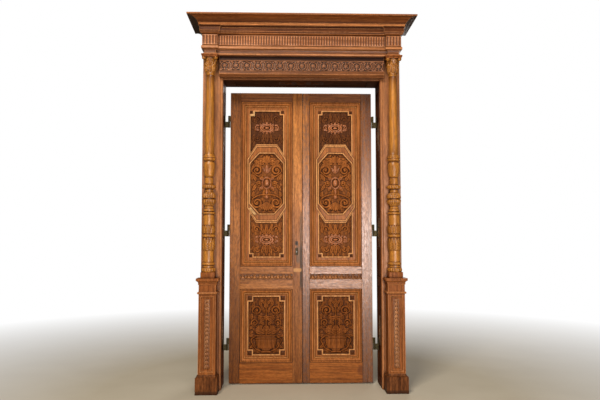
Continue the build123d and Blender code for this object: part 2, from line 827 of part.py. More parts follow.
def panel_moulding(x, bottom_z, height):
    plug = moulding_plug(x, bottom_z + height / 2, opening_width / 2, height / 2)
    with BuildPart() as ring:
        with BuildSketch(facing(x, panel_front_y, bottom_z + height / 2)):
            Rectangle(opening_width, height)
        extrude(amount=panel_recess + moulding_proud)
        add(plug, mode=Mode.SUBTRACT)
    return ring.part


# Carved fields: sunk grounds with notched corners, edged by a raised fillet
field_sink = 7
fillet_width = 8
fillet_rise = 5
field_half_width = 138
corner_notch = 30
corner_block = 24
corner_rise = 5
upper_field_margin = 30
lower_field_margin = 19
relief = 9
low_relief = 7
scroll_width_share = 0.085

octagon_centre_share = 0.5
octagon_half_height = 320
octagon_flat_half = 88
octagon_half_width = 163
octagon_shoulder = 114
inner_half_height = 254
inner_flat_half = 62
inner_half_width = 139
inner_shoulder = 86
octagon_rise = 6
octagon_fillet = 9
octagon_fillet_rise = 4
octagon_gap = 14
upper_centre_z = upper_opening_z + upper_opening_height * octagon_centre_share
field_top = upper_opening_height / 2 - moulding_width - upper_field_margin
lower_field_half_height = lower_opening_height / 2 - moulding_width - lower_field_margin


def octagon(half_width, half_height, flat_half, shoulder):
    quarter = [(flat_half, half_height), (half_width, half_height - shoulder)]
    right = quarter + [(x, -z) for x, z in quarter[::-1]]
    return right + [(-x, z) for x, z in right[::-1]]


def end_field(grow):
    """Outline of the carved field above the octagon; grow widens it evenly."""
    side = field_half_width + grow
    top = field_top + grow
    notch_x = field_half_width - corner_notch + grow
    notch_z = field_top - corner_notch + grow
    flat_z = octagon_half_height + octagon_gap - grow
    slope = octagon_shoulder / (octagon_half_width - octagon_flat_half)
    flat_x = octagon_flat_half
    side_z = flat_z - slope * (side - flat_x)
    right = [(notch_x, top), (notch_x, notch_z), (side, notch_z), (side, side_z), (flat_x, flat_z)]
    return right + [(-x, z) for x, z in right[::-1]]


def notched_field(grow):
    """Outline of the lower carved field, notched at all four corners."""
    side = field_half_width + grow
    top = lower_field_half_height + grow
    notch_x = field_half_width - corner_notch + grow
    notch_z = lower_field_half_height - corner_notch + grow
    quarter = [(notch_x, top), (notch_x, notch_z), (side, notch_z)]
    right = quarter + [(x, -z) for x, z in quarter[::-1]]
    return right + [(-x, z) for x, z in right[::-1]]


def raised_fillet(plane, outline):
    """A narrow raised border round a carved field."""
    with BuildSketch(plane) as border:
        Polygon(*outline(fillet_width), align=None)
        Polygon(*outline(0), align=None, mode=Mode.SUBTRACT)
    extrude(border.sketch, amount=fillet_rise)


def corner_diamond(plane, x, z):
    """A small pointed block in a notched corner."""
    half = corner_block / 2
    outline = [(x - half, z - half), (x + half, z - half), (x + half, z + half), (x - half, z + half)]
    return pointed(plane, outline, (x, z), corner_rise)


# Carving: places as shares of the field's half-width, from the field's centre line
crest_leaf_shares = [
    (0.0, 0.58, 0.56, 0.26, 90),
    (0.27, 0.46, 0.40, 0.20, 50),
    (0.0, -0.56, 0.50, 0.26, 90),
    (0.27, -0.44, 0.38, 0.18, -50),
    (0.66, 0.38, 0.36, 0.14, 35),
]
crest_scroll_shares = [(0.64, -0.02, 0.17, 160, -290)]
crest_oval_shares = (0.40, 0.25)
crest_boss_shares = (0.22, 0.12)
arabesque_leaf_shares = [
    (0.0, 1.40, 0.50, 0.28, 90),
    (0.27, 1.40, 0.40, 0.18, 40),
    (0.0, 0.80, 0.52, 0.20, 90),
    (0.24, 0.44, 0.40, 0.15, 60),
    (0.0, 0.10, 0.60, 0.30, 90),
    (0.0, -0.58, 0.50, 0.22, 90),
    (0.76, 0.22, 0.56, 0.16, 80),
    (0.0, -1.34, 0.56, 0.32, 90),
    (0.28, -1.44, 0.42, 0.18, -40),
    (0.74, -0.52, 0.36, 0.14, 100),
]
arabesque_scroll_shares = [
    (0.50, 0.90, 0.25, -70, 300),
    (0.38, -0.10, 0.15, 90, 270),
    (0.50, -1.00, 0.25, 70, -300),
]
vase_shares = [(0.0, -0.42), (0.60, -0.42), (0.60, -0.56), (0.48, -0.60), (0.44, -0.95), (0.14, -1.20)]
vase_foot_shares = [(0.34, -1.36), (0.34, -1.46), (0.0, -1.46)]
bouquet_leaf_shares = [
    (0.0, 1.16, 0.62, 0.30, 90),
    (0.30, 1.20, 0.46, 0.18, 40),
    (0.0, 0.46, 0.66, 0.24, 90),
    (0.0, -0.16, 0.48, 0.30, 90),
    (0.30, -0.10, 0.46, 0.18, 40),
    (0.72, 0.10, 0.40, 0.16, 70),
]
bouquet_scroll_shares = [(0.48, 0.66, 0.25, -100, 290), (0.74, -0.74, 0.17, 130, -280)]


def carve(plane, leaf_shares, scroll_shares):
    """Leaves and scrolls, each with its mirror image across the centre line."""
    unit = field_half_width
    for u, v, length, width, angle in leaf_shares:
        add(leaf(plane, unit * u, unit * v, unit * length, unit * width, angle, relief))
        if u > 0:
            add(leaf(plane, -unit * u, unit * v, unit * length, unit * width, 180 - angle, relief))
    with BuildSketch(plane) as scrolls:
        for u, v, radius, start, turn in scroll_shares:
            width = unit * scroll_width_share
            draw_scroll(unit * u, unit * v, unit * radius, width, start, turn)
            draw_scroll(-unit * u, unit * v, unit * radius, width, 180 - start, -turn)
    extrude(scrolls.sketch, amount=low_relief)


def oval_points(half_width, half_height):
    """Points round an oval."""
    angles = [2 * radians(180) * index / oval_sides for index in range(oval_sides)]
    return [(half_width * cos(angle), half_height * sin(angle)) for angle in angles]


def crest(plane):
    """A cartouche: an oval ring round a boss, with leaves and side scrolls."""
    unit = field_half_width
    with BuildSketch(plane) as oval:
        Polygon(*oval_points(unit * crest_oval_shares[0], unit * crest_oval_shares[1]), align=None)
    extrude(oval.sketch, amount=low_relief)
    with BuildSketch(plane) as boss:
        Polygon(*oval_points(unit * crest_boss_shares[0], unit * crest_boss_shares[1]), align=None)
    extrude(boss.sketch, amount=relief + low_relief / 2)
    carve(plane, crest_leaf_shares, crest_scroll_shares)


def panel_board(x, bottom_z, height):
    with BuildPart() as plain:
        with BuildSketch(facing(x, panel_front_y + panel_thickness, bottom_z + height / 2)):
            Rectangle(opening_width, height)
        extrude(amount=panel_thickness)
    return plain.part


def upper_panel(x):
    plain = panel_board(x, upper_opening_z, upper_opening_height)
    face = facing(x, panel_front_y, upper_centre_z)
    ground = facing(x, panel_front_y + field_sink, upper_centre_z)
    inner = (inner_half_width, inner_half_height, inner_flat_half, inner_shoulder)
    crest_z = (field_top + octagon_half_height) / 2 + octagon_gap - upper_field_margin
    with BuildPart() as panel:
        add(plain)
        with BuildSketch(face):
            Polygon(*end_field(0), align=None)
            Polygon(*[(u, -v) for u, v in end_field(0)], align=None)
            Polygon(*octagon(*inner), align=None)
        extrude(amount=-field_sink, mode=Mode.SUBTRACT)
        raised_fillet(face, end_field)
        raised_fillet(face, lambda grow: [(u, -v) for u, v in end_field(grow)])
        corner = field_half_width - corner_notch / 2 + fillet_width
        corner_level = field_top - corner_notch / 2 + fillet_width
        for across in (-corner, corner):
            add(corner_diamond(face, across, corner_level))
            add(corner_diamond(face, across, -corner_level))
        crest(facing(x, panel_front_y + field_sink, upper_centre_z + crest_z))
        crest(facing(x, panel_front_y + field_sink, upper_centre_z - crest_z))
        carve(ground, arabesque_leaf_shares, arabesque_scroll_shares)
    return panel.part


def octagon_frame(x):
    """The flat band round the octagon, with a raised edge inside and outside."""
    face = facing(x, panel_front_y, upper_centre_z)
    outer = (octagon_half_width, octagon_half_height, octagon_flat_half, octagon_shoulder)
    inner = (inner_half_width, inner_half_height, inner_flat_half, inner_shoulder)
    with BuildPart() as band:
        with BuildSketch(face):
            Polygon(*octagon(*outer), align=None)
            Polygon(*octagon(*inner), align=None, mode=Mode.SUBTRACT)
        extrude(amount=octagon_rise)
        with BuildSketch(face.offset(octagon_rise)):
            Polygon(*octagon(*outer), align=None)
            offset(amount=-octagon_fillet, kind=Kind.INTERSECTION, mode=Mode.SUBTRACT)
        extrude(amount=octagon_fillet_rise)
        with BuildSketch(face.offset(octagon_rise)):
            Polygon(*octagon(*inner), align=None)
            offset(amount=octagon_fillet, kind=Kind.INTERSECTION)
            Polygon(*octagon(*inner), align=None, mode=Mode.SUBTRACT)
        extrude(amount=octagon_fillet_rise)
    return band.part


def lower_panel(x):
    centre_z = lower_opening_z + lower_opening_height / 2
    plain = panel_board(x, lower_opening_z, lower_opening_height)
    face = facing(x, panel_front_y, centre_z)
    ground = facing(x, panel_front_y + field_sink, centre_z)
    corner = field_half_width - corner_notch / 2 + fillet_width
    corner_level = lower_field_half_height - corner_notch / 2 + fillet_width
    with BuildPart() as panel:
        add(plain)
        with BuildSketch(face):
            Polygon(*notched_field(0), align=None)
        extrude(amount=-field_sink, mode=Mode.SUBTRACT)
        raised_fillet(face, notched_field)
        for across in (-corner, corner):
            add(corner_diamond(face, across, corner_level))
            add(corner_diamond(face, across, -corner_level))
        with BuildSketch(ground):
            right = [(field_half_width * u, field_half_width * v) for u, v in vase_shares + vase_foot_shares]
            Polygon(*right, *[(-u, v) for u, v in right[-2:0:-1]], align=None)
        extrude(amount=relief + fillet_rise)
        carve(ground, bouquet_leaf_shares, bouquet_scroll_shares)
    return panel.part


# Carved strip along the lock rail
strip_height = 47
strip_base = 3
strip_relief = 6
strip_count = 9
strip_z_share = 0.545
strip_leaf_shares = (0.74, 0.40)


def rail_strip(x):
    pitch = opening_width / strip_count
    strip_z = lock_rail_z + lock_rail_height * strip_z_share
    face = facing(x, leaf_front_y - strip_base, strip_z)
    leaf_length = strip_height * strip_leaf_shares[0]
    leaf_width = pitch * strip_leaf_shares[1]
    with BuildPart() as strip:
        with BuildSketch(facing(x, leaf_front_y, strip_z)):
            Rectangle(opening_width, strip_height)
        extrude(amount=strip_base)
        for index in range(strip_count):
            leaf_x = pitch * (index + 1 / 2) - opening_width / 2
            add(leaf(face, leaf_x, 0, leaf_length, leaf_width, 90, strip_relief))
    return strip.part


for side, panel_x in (("left", left_panel_x), ("right", right_panel_x)):
    save(panel_moulding(panel_x, upper_opening_z, upper_opening_height), f"{side}_upper_moulding")
    save(panel_moulding(panel_x, lower_opening_z, lower_opening_height), f"{side}_lower_moulding")
    save(upper_panel(panel_x), f"{side}_upper_panel")
    save(octagon_frame(panel_x), f"{side}_octagon_frame")
    save(lower_panel(panel_x), f"{side}_lower_panel")
    save(rail_strip(panel_x), f"{side}_rail_strip")

# Hinges: a strap and upper knuckle on the leaf, a flap, arm, lower knuckle and pin on the reveal
knuckle_radius = 9
knuckle_gap = 3.5
pin_radius = 4
pin_clearance = 0.05
pin_sides = 12
hinge_height = 100
strap_thickness = 2.5
strap_depth = 34
arm_thickness = 4
flap_width = 42
pin_short = 12
knuckle_sides = 8
washer_gap = 0.4
hinge_axis_x = leaf_outer_x + knuckle_gap + knuckle_radius
hinge_axis_y = leaf_front_y
hinge_levels = [floor_gap + leaf_height * share for share in hinge_z_shares]


with BuildPart() as hinge_flaps:
    for level in hinge_levels:
        low = level - hinge_height / 2
        with BuildSketch(Plane((hinge_axis_x, hinge_axis_y, low))):
            RegularPolygon(knuckle_radius, knuckle_sides)
        extrude(amount=hinge_height / 2)
        with BuildSketch(Plane((hinge_axis_x, hinge_axis_y, level))):
            Circle(pin_radius)
        extrude(amount=hinge_height / 2 - pin_short)
        with BuildSketch(Plane((hinge_axis_x, hinge_axis_y, low))):
            Rectangle(reveal_face_x - hinge_axis_x, arm_thickness, align=(Align.MIN, Align.CENTER))
        extrude(amount=hinge_height / 2)
        with BuildSketch(Plane((reveal_face_x, hinge_axis_y, low))):
            Rectangle(strap_thickness, flap_width, align=(Align.MAX, Align.CENTER))
        extrude(amount=hinge_height)
save_pair(hinge_flaps.part, "hinge_flaps")

with BuildPart() as hinge_straps:
    for level in hinge_levels:
        with BuildSketch(Plane((leaf_outer_x, leaf_front_y, level - hinge_height / 2))):
            Rectangle(strap_thickness, strap_depth, align=(Align.MIN, Align.MIN))
        extrude(amount=hinge_height)
        with BuildSketch(Plane((hinge_axis_x, hinge_axis_y, level + washer_gap))):
            RegularPolygon(knuckle_radius, knuckle_sides)
            with Locations((-knuckle_gap - knuckle_radius, 0)):
                Rectangle(knuckle_gap + knuckle_radius, arm_thickness, align=(Align.MIN, Align.MIN))
        extrude(amount=hinge_height / 2 - washer_gap)
        with BuildSketch(Plane((hinge_axis_x, hinge_axis_y, level))):
            RegularPolygon(pin_radius + pin_clearance, pin_sides, major_radius=False)
        extrude(amount=hinge_height / 2 - pin_short + clearance, mode=Mode.SUBTRACT)
save_pair(hinge_straps.part, "hinge_straps")
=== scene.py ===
# %% [markdown]
# # A carved oak doorway
# A pair of panelled leaves hangs between two turned columns, under a fluted frieze and a deep cornice.
# The sawn boards and run mouldings are already right in the loaded frame, so they only need oak on them.
# What a carver or a turner made is modelled here and stands on that frame:
# the panels, the band, the columns and the capitals.

# %% load the frame
import math

import bpy
import numpy as np
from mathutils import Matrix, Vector


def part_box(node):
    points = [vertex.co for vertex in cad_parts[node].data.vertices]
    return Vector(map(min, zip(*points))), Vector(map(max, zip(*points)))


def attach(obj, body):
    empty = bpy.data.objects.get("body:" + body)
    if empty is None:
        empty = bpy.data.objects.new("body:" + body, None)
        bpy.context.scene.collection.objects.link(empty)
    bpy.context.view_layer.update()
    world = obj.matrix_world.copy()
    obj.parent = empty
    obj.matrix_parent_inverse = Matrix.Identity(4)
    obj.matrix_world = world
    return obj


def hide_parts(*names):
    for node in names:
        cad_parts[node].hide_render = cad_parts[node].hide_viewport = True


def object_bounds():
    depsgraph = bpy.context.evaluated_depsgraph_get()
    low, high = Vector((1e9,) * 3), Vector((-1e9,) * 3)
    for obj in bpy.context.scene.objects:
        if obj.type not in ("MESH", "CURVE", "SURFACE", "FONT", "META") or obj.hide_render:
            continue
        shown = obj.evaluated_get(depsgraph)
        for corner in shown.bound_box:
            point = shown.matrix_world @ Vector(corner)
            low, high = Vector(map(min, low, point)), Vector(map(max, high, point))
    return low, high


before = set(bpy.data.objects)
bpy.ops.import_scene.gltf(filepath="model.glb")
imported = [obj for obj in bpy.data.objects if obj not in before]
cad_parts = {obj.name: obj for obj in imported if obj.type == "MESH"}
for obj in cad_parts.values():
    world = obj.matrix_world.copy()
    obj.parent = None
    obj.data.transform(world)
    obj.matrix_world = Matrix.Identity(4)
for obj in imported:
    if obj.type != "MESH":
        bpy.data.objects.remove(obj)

MM = 0.001
TAU = 2 * math.pi
cad_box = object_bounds()
print("frame loaded:", len(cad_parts), "pieces of joinery")

# %% [markdown]
# ## Camera
# The doorway is seen from a little left of its middle, at chest height, looking slightly up.
# A camera can be dragged into place by eye, but the picture's vanishing lines also give its place by sums,
# so the numbers below are a real spot in the room and a real focal length.

# %% set up the camera
PHOTO_WIDTH = 600
FOCAL_PIXELS = 575.2
SENSOR = 36
STAND = (-0.1414, -4.6661, 1.2121)
LOOK_UP = 0.0647
LOOK_RIGHT = 0.0273

bpy.ops.object.select_all(action="DESELECT")
bpy.ops.object.camera_add(location=STAND, rotation=(math.pi / 2 + LOOK_UP, 0, -LOOK_RIGHT))
camera = bpy.context.object
camera.name = "camera"
camera.data.sensor_width = SENSOR
camera.data.lens = FOCAL_PIXELS / PHOTO_WIDTH * SENSOR
bpy.context.scene.camera = camera
print("camera lens", round(camera.data.lens, 2), "mm")

# %% [markdown]
# ## Studio
# Polished oak shows its form by soft reflections, so the main light is a panel high at the left front,
# and a weaker one behind the camera, like a window, lays a sheen on the middle of the leaves.
# A third, weak one behind the doorway keeps its plain back from going black.
# The floor fades to white away from the doorway,
# which saves a backdrop that would stand in the way from behind.

# %% light the room
KEY_LIGHT = {"name": "key", "place": (-1.5, -4.3, 5.9), "width": 1.7, "height": 1.2, "power": 322}
WINDOW_LIGHT = {"name": "window", "place": (0.85, -5.3, 1.15), "width": 1.7, "height": 1.3, "power": 185}
REAR_LIGHT = {"name": "rear", "place": (1.8, 5.2, 3.4), "width": 2.0, "height": 2.0, "power": 90}
WARM = (1.0, 0.93, 0.82)
COOL = (1.0, 0.97, 0.95)
AIM = Vector((0.0, 0.0, 1.3))
ROOM_GLOW = 0.145


def soft_panel(colour, name, place, width, height, power):
    bpy.ops.object.light_add(type="AREA", location=place)
    lamp = bpy.context.object
    lamp.name = name
    lamp.data.shape = "RECTANGLE"
    lamp.data.size = width
    lamp.data.size_y = height
    lamp.data.energy = power
    lamp.data.color = colour
    lamp.rotation_euler = (AIM - Vector(place)).to_track_quat("-Z", "Y").to_euler()
    return lamp


soft_panel(WARM, **KEY_LIGHT)
soft_panel(COOL, **WINDOW_LIGHT)
soft_panel(COOL, **REAR_LIGHT)

scene = bpy.context.scene
scene.view_settings.view_transform = "Standard"
world = bpy.data.worlds.new("pale_room")
scene.world = world
world.use_nodes = True
nodes, links = world.node_tree.nodes, world.node_tree.links
nodes.clear()
room_path = nodes.new("ShaderNodeLightPath")
seen = nodes.new("ShaderNodeMath")
seen.operation = "MAXIMUM"
links.new(room_path.outputs["Is Camera Ray"], seen.inputs[0])
links.new(room_path.outputs["Is Transmission Ray"], seen.inputs[1])
glow = nodes.new("ShaderNodeBackground")
glow.inputs["Color"].default_value = (1.0, 0.96, 0.90, 1)
glow.inputs["Strength"].default_value = ROOM_GLOW
white = nodes.new("ShaderNodeBackground")
white.inputs["Color"].default_value = (1, 1, 1, 1)
choose = nodes.new("ShaderNodeMixShader")
links.new(seen.outputs[0], choose.inputs[0])
links.new(glow.outputs[0], choose.inputs[1])
links.new(white.outputs[0], choose.inputs[2])
sky = nodes.new("ShaderNodeOutputWorld")
links.new(choose.outputs[0], sky.inputs["Surface"])
print("three soft panels and a pale room")

# %% lay the floor
FLOOR_SIZE = 40
FLOOR_FADE_START = 1.6
FLOOR_FADE_END = 5.5

bpy.ops.object.select_all(action="DESELECT")
bpy.ops.mesh.primitive_plane_add(size=FLOOR_SIZE)
floor = bpy.context.object
floor.name = "floor"
pale = bpy.data.materials.new("pale_floor")
pale.use_nodes = True
nodes, links = pale.node_tree.nodes, pale.node_tree.links
shade = nodes["Principled BSDF"]
shade.inputs["Roughness"].default_value = 0.85
shade.inputs["Specular IOR Level"].default_value = 0.1
place = nodes.new("ShaderNodeTexCoord")
speck = nodes.new("ShaderNodeTexNoise")
speck.inputs["Scale"].default_value = 2.2
speck.inputs["Detail"].default_value = 6
links.new(place.outputs["Object"], speck.inputs["Vector"])
tint = nodes.new("ShaderNodeValToRGB")
tint.color_ramp.elements[0].color = (0.47, 0.41, 0.31, 1)
tint.color_ramp.elements[1].color = (0.57, 0.51, 0.40, 1)
links.new(speck.outputs["Fac"], tint.inputs["Fac"])
links.new(tint.outputs["Color"], shade.inputs["Base Color"])
reach = nodes.new("ShaderNodeVectorMath")
reach.operation = "LENGTH"
links.new(place.outputs["Object"], reach.inputs[0])
fade = nodes.new("ShaderNodeMapRange")
fade.inputs["From Min"].default_value = FLOOR_FADE_START
fade.inputs["From Max"].default_value = FLOOR_FADE_END
links.new(reach.outputs["Value"], fade.inputs["Value"])
floor_path = nodes.new("ShaderNodeLightPath")
far_seen = nodes.new("ShaderNodeMath")
far_seen.operation = "MULTIPLY"
links.new(fade.outputs["Result"], far_seen.inputs[0])
links.new(floor_path.outputs["Is Camera Ray"], far_seen.inputs[1])
far_white = nodes.new("ShaderNodeEmission")
far_white.inputs["Color"].default_value = (1, 1, 1, 1)
melt = nodes.new("ShaderNodeMixShader")
links.new(far_seen.outputs[0], melt.inputs[0])
links.new(shade.outputs[0], melt.inputs[1])
links.new(far_white.outputs[0], melt.inputs[2])
links.new(melt.outputs[0], nodes["Material Output"].inputs["Surface"])
floor.data.materials.append(pale)
print("floor", FLOOR_SIZE, "m square, melting to white")

# %% [markdown]
# ## Oak
# Oak is ring-porous: bands of tone run along a board, with short dark pores
# and the flecks of its rays in them.
# An image would show that too, but noise stretched along the board gives it at any size and on every side.
# One function makes every oak here; boards differ in tone, in the way the grain runs
# and in where they are cut from.

# %% mix the oak finishes
GRAIN_STRETCH = 0.045
# Reach and tone of the painted shade, with dust, in inner corners.
CORNER_SHADE_REACH = 38
DUST_AND_SHADE = (0.20, 0.13, 0.08)
FLECK_STRETCH = 0.3
BAND_SCALE = 46
STREAK_SCALE = 150
PORE_SCALE = 620
RAY_SCALE = 85
BLOTCH_SCALE = 2.6
RIPPLE_SCALE = 30
GRAIN_AXIS = {"across": 0, "upright": 2}


def noise(tree, vector, scale, detail, rough=0.55, bend=0.0):
    node = tree.nodes.new("ShaderNodeTexNoise")
    node.inputs["Scale"].default_value = scale
    node.inputs["Detail"].default_value = detail
    node.inputs["Roughness"].default_value = rough
    node.inputs["Distortion"].default_value = bend
    tree.links.new(vector, node.inputs["Vector"])
    return node.outputs["Fac"]


def ramp(tree, value, *stops):
    """Turn a value into a colour; each stop is a place and a colour, or a place and a grey."""
    node = tree.nodes.new("ShaderNodeValToRGB")
    elements = node.color_ramp.elements
    while len(elements) < len(stops):
        elements.new(0.5)
    for element, (at, colour) in zip(elements, stops):
        element.position = at
        shade_of = (colour,) * 3 if isinstance(colour, (int, float)) else colour
        element.color = (*shade_of, 1)
    tree.links.new(value, node.inputs["Fac"])
    return node.outputs["Color"]


def sums(tree, operation, first, second):
    node = tree.nodes.new("ShaderNodeMath")
    node.operation = operation
    for socket, value in zip(node.inputs, (first, second)):
        if isinstance(value, (int, float)):
            socket.default_value = value
        else:
            tree.links.new(value, socket)
    return node.outputs[0]


def blend_colour(tree, way, amount, first, second):
    node = tree.nodes.new("ShaderNodeMix")
    node.data_type = "RGBA"
    node.blend_type = way
    for name, value in (("Factor_Float", amount), ("A_Color", first), ("B_Color", second)):
        socket = next(s for s in node.inputs if s.identifier == name)
        if isinstance(value, bpy.types.NodeSocket):
            tree.links.new(value, socket)
        elif name == "Factor_Float":
            socket.default_value = value
        else:
            socket.default_value = (*value, 1)
    return next(s for s in node.outputs if s.identifier == "Result_Color")


def growth_rings(tree, along):
    """Dark lines that wander along the board, as slices of the yearly rings do."""
    wave = tree.nodes.new("ShaderNodeTexWave")
    wave.bands_direction = "DIAGONAL"
    wave.inputs["Scale"].default_value = 10
    wave.inputs["Distortion"].default_value = 11
    wave.inputs["Detail"].default_value = 3
    wave.inputs["Detail Scale"].default_value = 1.4
    tree.links.new(along, wave.inputs["Vector"])
    return wave.outputs["Fac"]


def along_board(tree, where, run, stretch, cut=(0, 0, 0)):
    """Coordinates drawn out along the grain of a board."""
    turn = tree.nodes.new("ShaderNodeMapping")
    turn.inputs["Location"].default_value = cut
    turn.inputs["Scale"].default_value[GRAIN_AXIS[run]] = stretch
    tree.links.new(where, turn.inputs["Vector"])
    return turn.outputs["Vector"]


def corner_dust_and_shade(tree, colour):
    """Old polish and dust, and painted shade, darken the inner corners of mouldings and carving, where
    ambient occlusion is strong.
    """
    nook = tree.nodes.new("ShaderNodeAmbientOcclusion")
    nook.samples = 8
    nook.inputs["Distance"].default_value = CORNER_SHADE_REACH * MM
    dust_and_shade_tone = ramp(tree, nook.outputs["AO"], (0.30, DUST_AND_SHADE), (0.86, 1.0))
    return blend_colour(tree, "MULTIPLY", 0.9, colour, dust_and_shade_tone)


def oak(
    name, pale, deep, run="upright", cut=(0, 0, 0), gloss=0.46, ground=None, wear_and_light=None,
    shine=0.12, rings=0.4, flecks=0.35,
):
    """Oak with its grain along one way; ground is the stain and painted shade in carved hollows; a last step
    adds age or painted light.
    """
    finish = bpy.data.materials.new(name)
    finish.use_nodes = True
    tree = finish.node_tree
    shader = tree.nodes["Principled BSDF"]
    where = tree.nodes.new("ShaderNodeTexCoord").outputs["Object"]
    along = along_board(tree, where, run, GRAIN_STRETCH, cut)
    bands = noise(tree, along, BAND_SCALE, 4, 0.62, 1.2)
    streaks = noise(tree, along, STREAK_SCALE, 5, 0.65, 0.4)
    pores = noise(tree, along, PORE_SCALE, 2, 0.5)
    blotch = noise(tree, where, BLOTCH_SCALE, 3, 0.5)
    rays = noise(tree, along_board(tree, where, run, FLECK_STRETCH, cut), RAY_SCALE, 3, 0.6, 0.3)
    figure = sums(tree, "ADD", sums(tree, "MULTIPLY", bands, 0.66), sums(tree, "MULTIPLY", streaks, 0.34))
    between = tuple((a + b) / 2 for a, b in zip(pale, deep))
    colour = ramp(tree, figure, (0.40, deep), (0.5, between), (0.60, pale))
    pore_lines = ramp(tree, pores, (0.36, 0.62), (0.47, 1.0))
    colour = blend_colour(tree, "MULTIPLY", 0.75, colour, pore_lines)
    ring_lines = ramp(tree, growth_rings(tree, along), (0.0, 0.5), (0.30, 1.0))
    colour = blend_colour(tree, "MULTIPLY", rings, colour, ring_lines)
    colour = blend_colour(tree, "MULTIPLY", 0.55, colour, ramp(tree, blotch, (0.3, 0.66), (0.7, 1.0)))
    colour = blend_colour(tree, "MULTIPLY", flecks, colour, ramp(tree, rays, (0.42, 0.45), (0.54, 1.0)))
    if ground is not None:
        hollow = tree.nodes.new("ShaderNodeAttribute")
        hollow.attribute_name = "hollow"
        colour = blend_colour(tree, "MIX", hollow.outputs["Fac"], colour, ground)
    if wear_and_light is not None:
        colour = wear_and_light(tree, where, colour)
    tree.links.new(corner_dust_and_shade(tree, colour), shader.inputs["Base Color"])
    polish = tree.nodes.new("ShaderNodeMapRange")
    polish.inputs["From Min"].default_value = 0.36
    polish.inputs["From Max"].default_value = 0.64
    polish.inputs["To Min"].default_value = gloss + 0.16
    polish.inputs["To Max"].default_value = gloss - 0.06
    tree.links.new(sums(tree, "MULTIPLY", sums(tree, "ADD", streaks, rays), 0.5), polish.inputs["Value"])
    tree.links.new(polish.outputs["Result"], shader.inputs["Roughness"])
    shader.inputs["Specular IOR Level"].default_value = shine
    bump = tree.nodes.new("ShaderNodeBump")
    bump.inputs["Strength"].default_value = 0.5
    bump.inputs["Distance"].default_value = 0.6 * MM
    ripple = sums(tree, "MULTIPLY", noise(tree, where, RIPPLE_SCALE, 2), 2.5)
    tree.links.new(sums(tree, "ADD", ripple, sums(tree, "ADD", streaks, pores)), bump.inputs["Height"])
    tree.links.new(bump.outputs["Normal"], shader.inputs["Normal"])
    return finish


def spot(tree, where, heart, reach, soft):
    """1 inside a box about its heart and 0 outside, with soft edges; a reach of None is endless."""
    parts = tree.nodes.new("ShaderNodeSeparateXYZ")
    tree.links.new(where, parts.inputs[0])
    inside = 1.0
    for axis, (at, half, fade_out) in enumerate(zip(heart, reach, soft)):
        if half is None:
            continue
        away = sums(tree, "ABSOLUTE", sums(tree, "SUBTRACT", parts.outputs[axis], at), 0.0)
        edge = tree.nodes.new("ShaderNodeMapRange")
        edge.interpolation_type = "SMOOTHSTEP"
        edge.inputs["From Min"].default_value = half + fade_out
        edge.inputs["From Max"].default_value = half
        tree.links.new(away, edge.inputs["Value"])
        inside = sums(tree, "MULTIPLY", edge.outputs["Result"], inside)
    return inside


def ragged(tree, where, mask, scale, amount):
    """A mask with a broken edge."""
    rough = noise(tree, where, scale, 5, 0.65)
    patchy = sums(tree, "ADD", sums(tree, "MULTIPLY", rough, 2 * amount), 1 - amount)
    broken = sums(tree, "MULTIPLY", mask, patchy)
    return ramp(tree, broken, (0.22, 0.0), (0.78, 1.0))


SPINDLE_INSET = 45
MARK_DEPTH = 0.02
MARK_FADE = 0.01
stile_low, stile_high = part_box("left_meeting_stile")
latch_level = sum(corner.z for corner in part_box("latch_bolt")) / 2
# Each mark: its place across and up, half sizes, soft edges, edge noise and raggedness, strength, colour.
HANDLE_MARKS = {
    "rubbed_edge": ((0.002, 1.22), (0.006, 0.12), (0.014, 0.16), 30, 0.5, 0.6, (0.085, 0.055, 0.030)),
    # A dark spot about the spindle hole: grime, and painted shade of the hole.
    "spindle": (
        (stile_high.x - SPINDLE_INSET * MM, latch_level), (0.006, 0.008), (0.012, 0.022),
        90, 0.5, 0.9, (0.022, 0.014, 0.008),
    ),
    "grime": ((0.004, 0.96), (0.005, 0.10), (0.018, 0.18), 24, 0.5, 0.85, (0.050, 0.028, 0.014)),
    "plate_ghost": ((-0.024, 1.07), (0.006, 0.04), (0.020, 0.07), 40, 0.6, 0.7, (0.125, 0.078, 0.050)),
    "new_wood": ((-0.030, 0.938), (0.022, 0.004), (0.022, 0.022), 70, 0.8, 0.7, (0.56, 0.27, 0.085)),
}


def handle_marks(tree, where, colour):
    """The ghost of the lost handle plate, grime at the edge, grime and painted shade about the spindle hole,
    and a slip of newer wood.
    """
    for (x, z), (wide, tall), (soft_x, soft_z), scale, raggedness, strength, tone in HANDLE_MARKS.values():
        mask = spot(tree, where, (x, stile_low.y, z), (wide, MARK_DEPTH, tall), (soft_x, MARK_FADE, soft_z))
        mask = ragged(tree, where, mask, scale, raggedness)
        colour = blend_colour(tree, "MIX", sums(tree, "MULTIPLY", mask, strength), colour, tone)
    return colour


def kicked_corner(tree, where, colour):
    """Damp has darkened the rail of the right leaf near its hinge side."""
    stain = spot(tree, where, (0.505, 0, 0.11), (0.008, None, 0.012), (0.05, 0, 0.06))
    damp = ragged(tree, where, stain, 22, 0.7)
    return blend_colour(tree, "MIX", sums(tree, "MULTIPLY", damp, 0.55), colour, (0.085, 0.022, 0.008))


def plinth_wear(tree, where, colour):
    """Scuffing by mops and boots: pale scuffs in streaks, and dark damp wood at the floor."""
    stretched = tree.nodes.new("ShaderNodeMapping")
    stretched.inputs["Scale"].default_value = (1, 1, 0.12)
    tree.links.new(where, stretched.inputs["Vector"])
    streaks = noise(tree, stretched.outputs["Vector"], 90, 5, 0.7)
    colour = blend_colour(tree, "MULTIPLY", 0.9, colour, ramp(tree, streaks, (0.38, 0.30), (0.60, 1.0)))
    damp = ragged(tree, where, spot(tree, where, (0, 0, 0), (None, None, 0.012), (0, 0, 0.03)), 40, 0.5)
    return blend_colour(tree, "MIX", sums(tree, "MULTIPLY", damp, 0.7), colour, (0.035, 0.014, 0.006))


